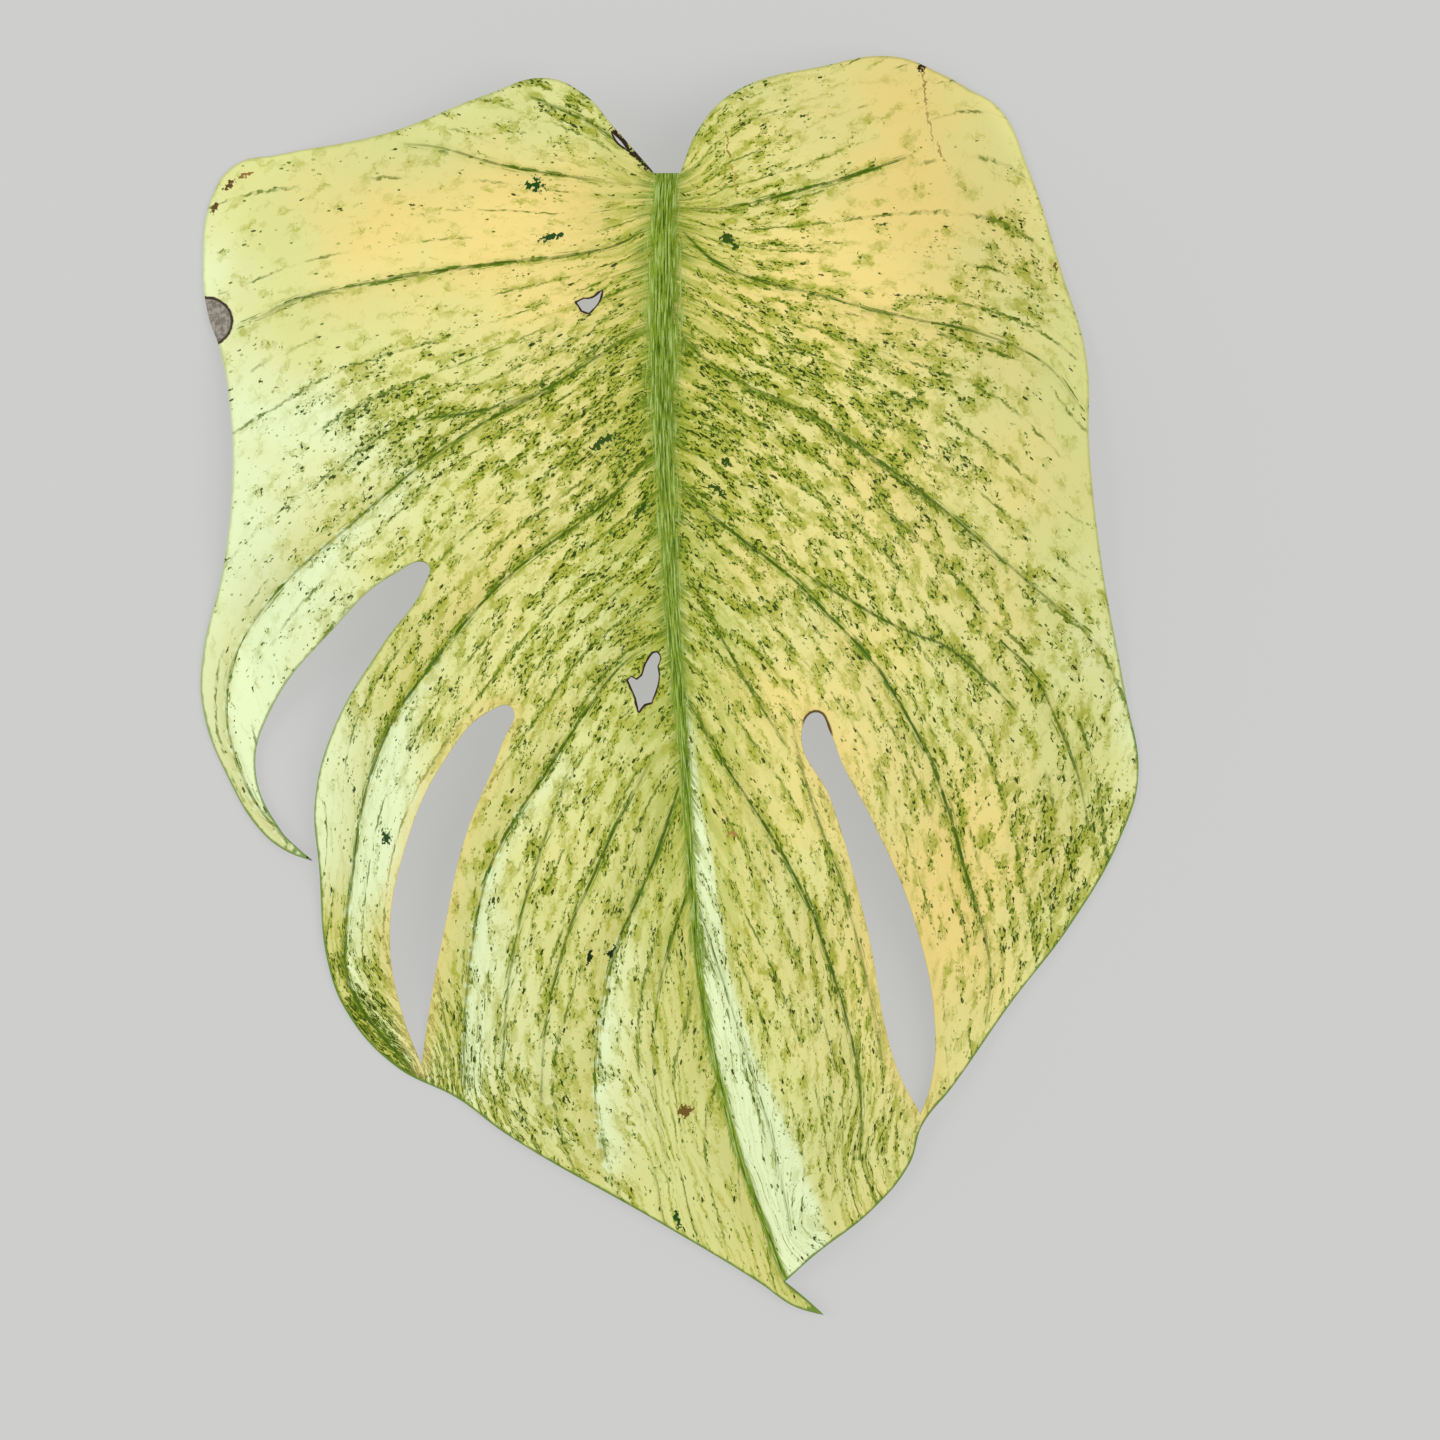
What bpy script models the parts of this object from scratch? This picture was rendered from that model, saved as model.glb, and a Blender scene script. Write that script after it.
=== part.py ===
"""A variegated monstera leaf, as picked and laid on a surface with its upper face up.

Blade, midrib, bent neck and stalk grew as one piece, so they are one object. The blade lies in
the XY plane with its midrib along Y: the sinus, where the stalk joins, is at +Y and the drip
tip at -Y. The neck turns the stalk back underneath the blade, where it lies on the surface.
"""

import math

import bmesh
import bpy
import numpy as np

MM = 0.001

# Driving dimensions, in millimetres.
BLADE_THICKNESS = 0.5
SHEET_HALF_X = 108.0
SHEET_HALF_Y = 144.0
SHEET_STEP = 7.2
FLOOR_BLEND = 1.6  # how softly a drooping margin flattens where it meets the surface
STALK_RADIUS = 3.7
NECK_RADIUS = 4.1
NECK_BEND = 8.0  # centre line of the neck's half turn
NECK_LIFT = 0.3  # how far the end of the bend stands off the surface
NECK_Y = 99.5  # where the midrib starts to turn down into the neck
NECK_TURN = (90, 50, 10, -30, -65, -90)  # degrees round the bend, from the midrib to the stalk
NECK_SLIMS = -45  # degrees past which the neck is as slim as the stalk
RIB_SINK = 0.55  # how far the midrib's centre lies under the blade, as a share of its radius
CUTTER_HALF_HEIGHT = 60.0

# The margin, in order from the sinus over the left shoulder and round to the right shoulder.
# Each point is x, y; a point ending in "corner" is a sharp one.
MARGIN = (
    # sinus and left shoulder
    (-3.0, 112.0, "corner"),
    (-12.0, 122.2),
    (-18.5, 129.5),
    (-27.0, 133.2),
    (-40.0, 129.6),
    (-61.0, 121.8),
    (-86.0, 117.2),
    (-95.5, 115.0),
    (-100.6, 108.0),
    (-102.6, 93.0),
    # left margin
    (-101.4, 82.0),
    (-98.6, 74.0),
    (-96.4, 62.0),
    (-95.8, 45.0),
    (-98.0, 26.0),
    (-102.6, 7.0),
    (-102.6, -5.0),
    (-96.6, -21.0),
    (-90.0, -31.6),
    (-84.6, -36.0),
    (-78.4, -38.4, "corner"),
    # first split, open at the margin
    (-81.6, -35.8),
    (-85.4, -32.0),
    (-91.2, -18.0),
    (-87.6, -5.0),
    (-73.0, 13.0),
    (-60.0, 24.3),
    (-52.0, 26.4),
    (-52.6, 22.6),
    (-62.3, 9.0),
    (-73.0, -8.5),
    (-77.6, -25.0),
    # second lobe
    (-76.8, -40.0),
    (-75.0, -61.0),
    (-70.6, -72.2),
    (-60.0, -83.8),
    # lower left margin to the drip tip
    (-46.4, -90.8),
    (-36.0, -98.4),
    (-1.5, -118.3),
    (20.5, -131.6),
    (27.4, -136.4),
    (34.2, -138.6, "corner"),
    (30.0, -134.8),
    (25.6, -131.2, "corner"),
    (32.0, -125.4),
    (45.0, -115.2),
    (53.2, -105.0),
    (55.8, -96.8),
    # right margin, from the lobe to the shoulder
    (62.4, -88.4),
    (75.6, -69.6),
    (88.6, -52.6),
    (99.8, -33.0),
    (103.6, -20.0),
    (100.6, -1.0),
    (95.4, 27.0),
    (92.6, 52.0),
    (92.0, 73.0),
    (86.5, 92.0),
    (79.0, 115.0),
    (73.0, 127.4),
    (66.0, 131.8),
    (60.0, 135.0),
    (50.0, 138.5),
    (34.0, 136.0),
    (14.5, 129.8),
    (6.8, 121.6),
    (2.8, 112.0, "corner"),
)

# Two long splits that stay closed by a narrow bridge at the margin.
LEFT_SPLIT = (
    (-54.4, -84.0, "corner"),
    (-58.8, -72.0),
    (-61.3, -56.0),
    (-58.2, -37.0),
    (-48.4, -15.5),
    (-38.5, -5.2),
    (-33.9, -4.6),
    (-36.0, -12.6),
    (-44.0, -32.5),
    (-49.2, -54.5),
    (-52.8, -73.0),
)
RIGHT_SPLIT = (
    (55.5, -94.4, "corner"),
    (50.2, -84.0),
    (43.0, -51.0),
    (35.5, -25.0),
    (29.1, -9.6),
    (32.4, -5.6),
    (35.5, -10.2),
    (38.0, -16.6),
    (44.6, -29.0),
    (54.3, -52.0),
    (58.8, -75.6),
    (57.6, -89.0),
)

# Two old tears right through the blade.
SMALL_TEAR = (
    (-19.6, 84.0, "corner"),
    (-14.8, 86.5, "corner"),
    (-15.4, 83.0),
    (-17.8, 81.6),
    (-19.2, 82.2),
)
LARGE_TEAR = (
    (-2.4, 7.6),
    (-1.4, 5.0),
    (-2.6, -2.0),
    (-5.9, -5.0, "corner"),
    (-6.8, -1.8),
    (-8.7, 1.4, "corner"),
    (-5.8, 2.4),
)

# A dried slit that leaves a thin strand along the sinus.
SINUS_SLIT = (
    (-12.2, 120.9, "corner"),
    (-11.1, 118.9),
    (-8.7, 117.0, "corner"),
    (-10.3, 119.2),
)
OUTLINES = (MARGIN, LEFT_SPLIT, RIGHT_SPLIT, SMALL_TEAR, LARGE_TEAR, SINUS_SLIT)

# Heights of the blade above the surface: x, y, z.
HEIGHTS = (
    # along the midrib
    (-0.5, 112, 18.6),
    (-1, 98, 22.2),
    (-1, 85, 24.8),
    (-1, 50, 27.8),
    (1, 10, 28.5),
    (4, -30, 26.0),
    (7, -65, 20.5),
    (11, -90, 15.0),
    (17, -112, 8.5),
    (25, -130, 3.0),
    (34, -139, 0.5),
    # left half, from the shoulder to the centre lobe
    (-12, 124, 18.5),
    (-27, 132, 13.0),
    (-61, 121, 7.0),
    (-93, 113, -2.5),
    (-30, 105, 26.0),
    (-60, 95, 22.0),
    (-85, 90, 10.0),
    (-101, 92, -1.0),
    (-35, 60, 29.0),
    (-65, 55, 24.0),
    (-95, 55, 6.0),
    (-45, 25, 27.0),
    (-75, 25, 18.0),
    (-98, 22, 3.0),
    (-102, 0, -3.0),
    (-88, -30, 1.0),
    (-66, 4, 15.0),
    (-77, -25, 6.5),
    (-66, -40, 9.0),
    (-75, -62, 0.0),
    (-56, -86, -2.5),
    (-25, 0, 28.0),
    (-45, -30, 20.0),
    (-25, -50, 22.0),
    (-48, -60, 11.5),
    (-42, -92, 1.5),
    (-10, -85, 15.0),
    (-16, -110, 2.5),
    (8, -124, 2.0),
    # right half, from the shoulder to the centre lobe
    (9, 124, 18.5),
    (22, 132, 14.0),
    (50, 137, 5.0),
    (70, 129, -0.5),
    (30, 105, 26.0),
    (60, 100, 18.0),
    (84, 100, -1.5),
    (35, 60, 30.0),
    (65, 60, 23.0),
    (91, 62, 5.0),
    (40, 20, 29.0),
    (72, 20, 20.0),
    (95, 28, 4.0),
    (103, -18, -3.5),
    (80, -25, 12.0),
    (60, -30, 18.5),
    (92, -46, -0.5),
    (62, -86, 2.5),
    (57, -65, 9.5),
    (46, -60, 14.5),
    (25, -50, 25.0),
    (30, -90, 16.0),
    (53, -95, 4.5),
    (42, -117, 2.0),
)

# The midrib's centre line and radius: x, y, radius.
MIDRIB = (
    (14.5, -104.0, 0.9),
    (10.5, -88.0, 1.1),
    (7.0, -65.0, 1.4),
    (5.0, -40.0, 1.7),
    (3.0, -10.0, 2.1),
    (0.5, 20.0, 2.6),
    (-1.0, 50.0, 3.1),
    (-1.2, 78.0, 3.9),
)

# The stalk on the surface, from the neck to its cut end: x, y.
STALK = (
    (-0.5, 86.0),
    (1.5, 60.0),
    (2.5, 25.0),
    (0.0, -15.0),
    (-6.0, -55.0),
)


def plate_kernel(distance):
    """The thin-plate spline's radial function, which is zero at its own point."""
    safe = np.maximum(distance, 1e-9)
    return safe**2 * np.log(safe)


def fit_plate(stations):
    """Weights of the smoothest bent plate through the stations' heights."""
    places = stations[:, :2]
    gaps = np.linalg.norm(places[:, None] - places[None], axis=2)
    plane = np.hstack([np.ones((len(places), 1)), places])
    system = np.block([[plate_kernel(gaps), plane], [plane.T, np.zeros((3, 3))]])
    return np.linalg.solve(system, np.concatenate([stations[:, 2], np.zeros(3)]))


STATIONS = np.array(HEIGHTS, float)
PLATE = fit_plate(STATIONS)


def blade_height(x, y):
    """Height of the blade's middle layer, flattened softly where it reaches the surface."""
    gaps = np.linalg.norm(STATIONS[:, :2] - (x, y), axis=1)
    bent = plate_kernel(gaps) @ PLATE[:-3] + PLATE[-3:] @ (1.0, x, y)
    above = (bent + math.hypot(bent, FLOOR_BLEND)) / 2
    return above + BLADE_THICKNESS / 2


def add_outline(curve, points):
    """A closed Bezier outline, smooth except at its corners."""
    spline = curve.splines.new("BEZIER")
    spline.bezier_points.add(len(points) - 1)
    spline.use_cyclic_u = True
    for knot, (x, y, *kind) in zip(spline.bezier_points, points):
        knot.co = (x * MM, y * MM, 0)
        knot.handle_left_type = knot.handle_right_type = "VECTOR" if kind else "AUTO"


def mesh_from_curve(obj, collection):
    """Swap a curve object for the welded mesh that it makes, so that Booleans can use it."""
    bpy.context.view_layer.update()
    graph = bpy.context.evaluated_depsgraph_get()
    mesh = bpy.data.meshes.new_from_object(obj.evaluated_get(graph))
    mesh.name = obj.name
    work = bmesh.new()
    work.from_mesh(mesh)
    bmesh.ops.remove_doubles(work, verts=work.verts, dist=1e-6)
    bmesh.ops.recalc_face_normals(work, faces=work.faces)
    work.to_mesh(mesh)
    work.free()
    name = obj.name
    bpy.data.objects.remove(obj)
    made = bpy.data.objects.new(name, mesh)
    collection.objects.link(made)
    return made


def outline_cutter(collection):
    """A tall prism of the blade's outline with both tears left open."""
    curve = bpy.data.curves.new("outline", "CURVE")
    curve.dimensions = "2D"
    curve.fill_mode = "BOTH"
    curve.resolution_u = 3
    curve.extrude = CUTTER_HALF_HEIGHT * MM
    for points in OUTLINES:
        add_outline(curve, points)
    obj = bpy.data.objects.new("outline", curve)
    collection.objects.link(obj)
    return mesh_from_curve(obj, collection)


def stalk_path():
    """Centre line and radius from the midrib's fine end, round the neck, to the stalk's cut end."""
    path = [
        (x, y, blade_height(x, y) - RIB_SINK * radius, radius) for x, y, radius in MIDRIB
    ]
    neck_x = MIDRIB[-1][0]
    neck_z = STALK_RADIUS + NECK_LIFT + NECK_BEND
    for degrees in NECK_TURN:
        turn = math.radians(degrees)
        y = NECK_Y + NECK_BEND * math.cos(turn)
        z = neck_z + NECK_BEND * math.sin(turn)
        path.append((neck_x, y, z, NECK_RADIUS if degrees > NECK_SLIMS else STALK_RADIUS))
    path += [(x, y, STALK_RADIUS, STALK_RADIUS) for x, y in STALK]
    return path


def stalk_solid(collection):
    """Midrib, neck and stalk as one tapering tube."""
    curve = bpy.data.curves.new("stalk", "CURVE")
    curve.dimensions = "3D"
    curve.resolution_u = 3
    curve.bevel_depth = MM
    curve.bevel_resolution = 4
    curve.use_fill_caps = True
    path = stalk_path()
    spline = curve.splines.new("BEZIER")
    spline.bezier_points.add(len(path) - 1)
    for knot, (x, y, z, radius) in zip(spline.bezier_points, path):
        knot.co = (x * MM, y * MM, z * MM)
        knot.radius = radius
        knot.handle_left_type = knot.handle_right_type = "AUTO"
    obj = bpy.data.objects.new("stalk", curve)
    collection.objects.link(obj)
    return mesh_from_curve(obj, collection)


def blade_sheet(collection):
    """A fine grid bent to the blade's heights."""
    sheet = bmesh.new()
    bmesh.ops.create_grid(
        sheet,
        x_segments=round(2 * SHEET_HALF_X / SHEET_STEP),
        y_segments=round(2 * SHEET_HALF_Y / SHEET_STEP),
        size=1.0,
    )
    for vert in sheet.verts:
        x = vert.co.x * SHEET_HALF_X
        y = vert.co.y * SHEET_HALF_Y
        vert.co = (x * MM, y * MM, blade_height(x, y) * MM)
    mesh = bpy.data.meshes.new("leaf")
    sheet.to_mesh(mesh)
    sheet.free()
    obj = bpy.data.objects.new("leaf", mesh)
    collection.objects.link(obj)
    return obj


def leaf_material():
    """Cream leaf tissue washed with green."""
    material = bpy.data.materials.new("leaf_tissue")
    material.use_nodes = True
    surface = material.node_tree.nodes["Principled BSDF"]
    surface.inputs["Base Color"].default_value = (0.62, 0.66, 0.24, 1.0)
    surface.inputs["Roughness"].default_value = 0.42
    surface.inputs["Metallic"].default_value = 0.0
    return material


def add_boolean(obj, name, operation, other):
    modifier = obj.modifiers.new(name, "BOOLEAN")
    modifier.operation = operation
    modifier.object = other
    modifier.solver = "EXACT"


def build_leaf(parts, cutters):
    """The blade, trimmed to its outline and joined with its midrib and stalk."""
    outline = outline_cutter(cutters)
    stalk = stalk_solid(cutters)
    for helper in (outline, stalk):
        helper.hide_render = True
        helper.display_type = "WIRE"
    leaf = blade_sheet(parts)
    thickness = leaf.modifiers.new("thickness", "SOLIDIFY")
    thickness.thickness = BLADE_THICKNESS * MM
    thickness.offset = 0.0
    add_boolean(leaf, "trim to outline", "INTERSECT", outline)
    add_boolean(leaf, "join midrib and stalk", "UNION", stalk)
    leaf.data.materials.append(leaf_material())
    leaf.data.shade_smooth()


def new_collection(name):
    collection = bpy.data.collections.new(name)
    bpy.context.scene.collection.children.link(collection)
    return collection


def main():
    for obj in list(bpy.data.objects):
        bpy.data.objects.remove(obj)
    parts = new_collection("monstera leaf")
    cutters = new_collection("cutters")
    build_leaf(parts, cutters)


main()
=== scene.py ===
"""Looks of a variegated monstera leaf: its fine blade, veins, neck, stalk and tissue.

The leaf is one grown piece, so it is one mesh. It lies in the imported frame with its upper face
up, its midrib along Y and its stalk folded back underneath. Lengths here are in millimetres
until a mesh is made.
"""

import math

import bpy
import numpy as np
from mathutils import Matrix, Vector, kdtree, noise
from mathutils.geometry import delaunay_2d_cdt


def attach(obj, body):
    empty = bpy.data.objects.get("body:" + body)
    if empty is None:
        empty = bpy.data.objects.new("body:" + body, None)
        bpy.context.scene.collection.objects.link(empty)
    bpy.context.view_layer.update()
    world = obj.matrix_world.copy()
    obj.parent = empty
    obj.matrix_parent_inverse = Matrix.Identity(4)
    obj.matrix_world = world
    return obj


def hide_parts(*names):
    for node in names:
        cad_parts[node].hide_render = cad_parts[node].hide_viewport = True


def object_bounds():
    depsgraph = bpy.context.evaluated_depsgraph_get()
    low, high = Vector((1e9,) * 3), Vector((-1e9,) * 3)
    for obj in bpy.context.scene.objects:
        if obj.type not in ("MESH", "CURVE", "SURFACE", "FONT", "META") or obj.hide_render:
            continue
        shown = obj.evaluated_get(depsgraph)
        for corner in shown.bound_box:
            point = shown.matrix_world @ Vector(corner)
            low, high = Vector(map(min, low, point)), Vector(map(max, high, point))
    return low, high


MM = 0.001

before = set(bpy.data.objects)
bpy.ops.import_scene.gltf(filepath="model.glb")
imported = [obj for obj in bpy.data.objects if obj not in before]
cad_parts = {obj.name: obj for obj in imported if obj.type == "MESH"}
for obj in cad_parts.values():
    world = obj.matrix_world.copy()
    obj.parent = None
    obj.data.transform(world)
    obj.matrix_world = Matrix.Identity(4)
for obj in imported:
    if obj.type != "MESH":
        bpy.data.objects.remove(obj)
CAD_LOW, CAD_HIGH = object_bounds()

# ---------------------------------------------------------------- driving dimensions

BLADE_THICKNESS = 0.5
FLOOR_BLEND = 1.6  # how softly a drooping margin flattens where it meets the surface
STALK_RADIUS = 3.7
NECK_RADIUS = 4.1
NECK_BEND = 6.5  # radius of the neck's centre line where it turns back
NECK_LIFT = 0.3  # how far above the surface the neck turns into the stalk
NECK_X = -1.2
NECK_Y = 100.5
STALK_STEP = 0.9  # spacing of the rings along the neck and the stalk
BEND_STARTS = (16.0, 22.0)  # where wrinkles of the bend grow, in length along the stalk
BEND_ENDS = (46.0, 56.0)  # where they fade again
SINUS_Y = 112.0  # where the midrib ends at the sinus
TIP_Y = -134.0  # about where it ends, at the drip tip

RIB_RISE = 0.24  # height of the midrib's band above the blade, as a share of its half width
RIB_HANG = 1.15  # how far it stands out underneath, as a share of its half width
CHANNEL_LEFT = 19.0  # how far the midrib's channel reaches to its left
CHANNEL_RIGHT = 12.5
CREASE_GAIN = 1.7  # depth of a lateral's crease for each unit in the vein tables
CREASE_REACH = 7.0  # distance over which it fades
WRINKLES = ((17.0, 0.0, 0.55), (6.5, 4.0, 0.16))  # size across, layer of noise, height

CURVE_STEP = 2.0  # spacing of points along the midrib, the veins and the grain
FLOW_STEP = 9.0  # spacing of the points that the grain's direction is fitted to
LATTICE = 1.2  # spacing of the blade's vertices
EDGE_STEP = 0.95  # spacing of vertices along the outlines
CLEARANCE = 0.55  # least distance from a lattice vertex to an outline or a vein
GUIDE_GAP = 0.35  # least distance from a vertex along a vein to an outline
RIM_BULGE = 0.12  # how far the middle of the rim stands out beyond the two faces
FLOOR_CALM = 4.0  # relief is full from this height above the surface and fades below it
RIB_WIDE = 1.7  # where half the midrib is wider than this, two more lines follow it
FAR = 99.0  # stands for a distance in millimetres that is too large to matter

# The margin, in order from the sinus over the left shoulder and round to the right shoulder.
# Each point is x, y; a point ending in "corner" is a sharp one.
MARGIN = (
    # sinus and left shoulder
    (-3, 112, "corner"), (-12, 122.2), (-18.5, 129.5), (-27, 133.2), (-40, 129.6), (-61, 121.8),
    (-86, 117.2), (-95.5, 115), (-100.6, 108), (-102.6, 93),
    # left margin
    (-101.4, 82), (-98.6, 74), (-96.4, 62), (-95.8, 45), (-98, 26), (-102.6, 7), (-102.6, -5),
    (-96.6, -21), (-90, -31.6), (-84.6, -36), (-78.4, -38.4, "corner"),
    # first split, open at the margin
    (-81.6, -35.8), (-85.4, -32), (-91.2, -18), (-87.6, -5), (-73, 13), (-60, 24.3), (-52, 26.4),
    (-52.6, 22.6), (-62.3, 9), (-73, -8.5), (-77.6, -25),
    # second lobe
    (-76.8, -40), (-75, -61), (-70.6, -72.2), (-60, -83.8),
    # lower left margin to the drip tip
    (-46.4, -90.8), (-36, -98.4), (-1.5, -118.3), (20.5, -131.6), (27.4, -136.4),
    (34.2, -138.6, "corner"), (30, -134.8), (25.6, -131.2, "corner"), (32, -125.4), (45, -115.2),
    (53.2, -105), (55.8, -96.8),
    # right margin, from the lobe to the shoulder
    (62.4, -88.4), (75.6, -69.6), (88.6, -52.6), (99.8, -33), (103.6, -20), (100.6, -1), (95.4, 27),
    (92.6, 52), (92, 73), (86.5, 92), (79, 115), (73, 127.4), (66, 131.8), (60, 135), (50, 138.5),
    (34, 136), (14.5, 129.8), (6.8, 121.6), (2.8, 112, "corner"),
)

# Two long splits that stay closed by a narrow bridge at the margin.
LEFT_SPLIT = (
    (-54.4, -84, "corner"), (-58.8, -72), (-61.3, -56), (-58.2, -37), (-48.4, -15.5), (-38.5, -5.2),
    (-33.9, -4.6), (-36, -12.6), (-44, -32.5), (-49.2, -54.5), (-52.8, -73),
)
RIGHT_SPLIT = (
    (55.5, -94.4, "corner"), (50.2, -84), (43, -51), (35.5, -25), (29.1, -9.6), (32.4, -5.6),
    (35.5, -10.2), (38, -16.6), (44.6, -29), (54.3, -52), (58.8, -75.6), (57.6, -89),
)

# Two old tears right through the blade.
SMALL_TEAR = (
    (-19.8, 83.3, "corner"), (-18.4, 84.2), (-16.6, 84.3), (-14.2, 86.1, "corner"), (-15, 83.3),
    (-17.1, 81, "corner"), (-18.6, 81.5, "corner"),
)
LARGE_TEAR = (
    (-2.3, 7.4), (-1.4, 6, "corner"), (-2.1, 4.2, "corner"), (-1.8, 1.9), (-3.4, -3.6, "corner"),
    (-5, -4, "corner"), (-6.3, -5.6, "corner"), (-7, -2.6, "corner"), (-8.7, 1.3, "corner"),
    (-7.9, 2.1, "corner"), (-6.7, 1.4, "corner"), (-5.6, 2.3, "corner"), (-4.4, 5.5),
)

# A dried slit that leaves a thin strand along the sinus.
SINUS_SLIT = (
    (-12.2, 120.9, "corner"), (-11.1, 118.9), (-8.7, 117, "corner"), (-10.3, 119.2),
)
TEARS = (SMALL_TEAR, LARGE_TEAR, SINUS_SLIT)
SPLITS = (LEFT_SPLIT, RIGHT_SPLIT)
OUTLINES = (MARGIN, *SPLITS, *TEARS)

# Heights of the blade above the surface: x, y, z.
HEIGHTS = (
    # along the midrib
    (-0.5, 112, 18.6), (-1, 98, 22.2), (-1, 85, 24.8), (-1, 50, 27.8), (1, 10, 28.5), (4, -30, 26),
    (7, -65, 20.5), (11, -90, 15), (17, -112, 8.5), (25, -130, 3), (34, -139, 0.5),
    # left half, from the shoulder to the centre lobe
    (-12, 124, 18.5), (-27, 132, 13), (-61, 121, 7), (-93, 113, -2.5), (-30, 105, 26), (-60, 95, 22),
    (-85, 90, 10), (-101, 92, -1), (-35, 60, 29), (-65, 55, 24), (-95, 55, 6), (-45, 25, 27),
    (-75, 25, 18), (-98, 22, 3), (-102, 0, -3), (-88, -30, 1), (-66, 4, 15), (-77, -25, 6.5),
    (-66, -40, 9), (-75, -62, 0), (-56, -86, -2.5), (-25, 0, 28), (-45, -30, 20), (-25, -50, 22),
    (-48, -60, 11.5), (-42, -92, 1.5), (-10, -85, 15), (-16, -110, 2.5), (8, -124, 2),
    # right half, from the shoulder to the centre lobe
    (9, 124, 18.5), (22, 132, 14), (50, 137, 5), (70, 129, -0.5), (30, 105, 26), (60, 100, 18),
    (84, 100, -1.5), (35, 60, 30), (65, 60, 23), (91, 62, 5), (40, 20, 29), (72, 20, 20), (95, 28, 4),
    (103, -18, -3.5), (80, -25, 12), (60, -30, 18.5), (92, -46, -0.5), (62, -86, 2.5), (57, -65, 9.5),
    (46, -60, 14.5), (25, -50, 25), (30, -90, 16), (53, -95, 4.5), (42, -117, 2),
)

# The midrib as seen from above: x, y, half its width, depth of the channel it lies in.
MIDRIB = (
    (-0.2, 112, 3, 0), (-0.9, 101, 3.4, 0), (-0.9, 90, 3.9, 0), (-0.9, 75, 4, 0), (-0.9, 58, 2.8, 0),
    (0, 41, 2.4, 0.3), (0.9, 19, 2, 0.9), (2.6, -3, 1.7, 1.8), (4, -20.6, 1.3, 2.8),
    (5.3, -42.6, 1, 3.8), (7.2, -64.6, 0.85, 4.3), (10.3, -82.2, 0.8, 4.2), (15.4, -102, 0.75, 3.4),
    (20, -115.2, 0.7, 2.4), (25.6, -130, 0.6, 0.8), (29.5, -134.2, 0.5, 0.1),
)

# Lateral veins from the midrib outward: crease depth, then x, y and how green each point is.
LEFT_VEINS = (
    (0.4, ((-3, 112, 0.3), (-9, 117, 0.4), (-17, 123, 0.6), (-30, 129, 0.5))),
    (0.5, ((-4, 109, 0.2), (-14, 110, 0.3), (-24, 111.4, 0.7), (-36, 113.6, 0.6), (-50, 118, 0.5),
           (-58, 119, 0.3))),
    (1.2, ((-4, 101, 0.2), (-10, 96.5, 0.6), (-22, 93.6, 0.5), (-37, 92, 0.8), (-52, 90, 0.9),
           (-64, 88.2, 0.6), (-81, 85, 0.6), (-90, 81, 0.3), (-97, 78.5, 0.1))),
    (1.9, ((-3.5, 79, 0.4), (-15, 71.8, 0.6), (-28, 63.5, 0.8), (-41.4, 56.4, 0.8), (-54.6, 47.4, 0.8),
           (-70, 34.6, 0.6), (-79, 27.4, 0.5), (-87.6, 19, 0.5), (-94, 10, 0.4), (-97, 1, 0.5),
           (-97, -10, 0.5), (-92, -24, 0.6), (-84, -34.5, 0.5))),
    (2.2, ((-3.3, 50.5, 0.6), (-14, 39.4, 0.9), (-26, 30.6, 0.8), (-34, 24.4, 0.8), (-43.6, 14.6, 0.9),
           (-52.4, 3.6, 0.9), (-59.4, -6, 0.8), (-64.5, -17, 0.7), (-67.8, -29, 0.7),
           (-69.4, -41, 0.7), (-71, -52, 0.6), (-71, -63, 0.7), (-66.5, -73, 0.8), (-56, -85.2, 0.8))),
    (2.2, ((-0.6, 11.5, 0.4), (-10.6, 3.8, 0.6), (-18, -6, 0.8), (-27, -19.5, 0.9),
           (-33.7, -29.4, 0.9), (-39, -40, 0.7), (-42, -51.4, 0.6), (-44, -64.6, 0.5), (-45, -77, 0.5),
           (-45, -88.5, 0.6))),
    (1.5, ((2.4, -22, 0.8), (-1.8, -35, 0.9), (-6.4, -46, 1.0), (-11.7, -58, 0.6), (-15, -73, 0.4),
           (-16, -89, 0.4), (-14.6, -104, 0.3))),
    (0.8, ((5, -43, 0.8), (0.6, -56, 0.7), (-2.6, -70, 0.4), (-3, -86, 0.3), (0, -108, 0.2))),
)
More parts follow.
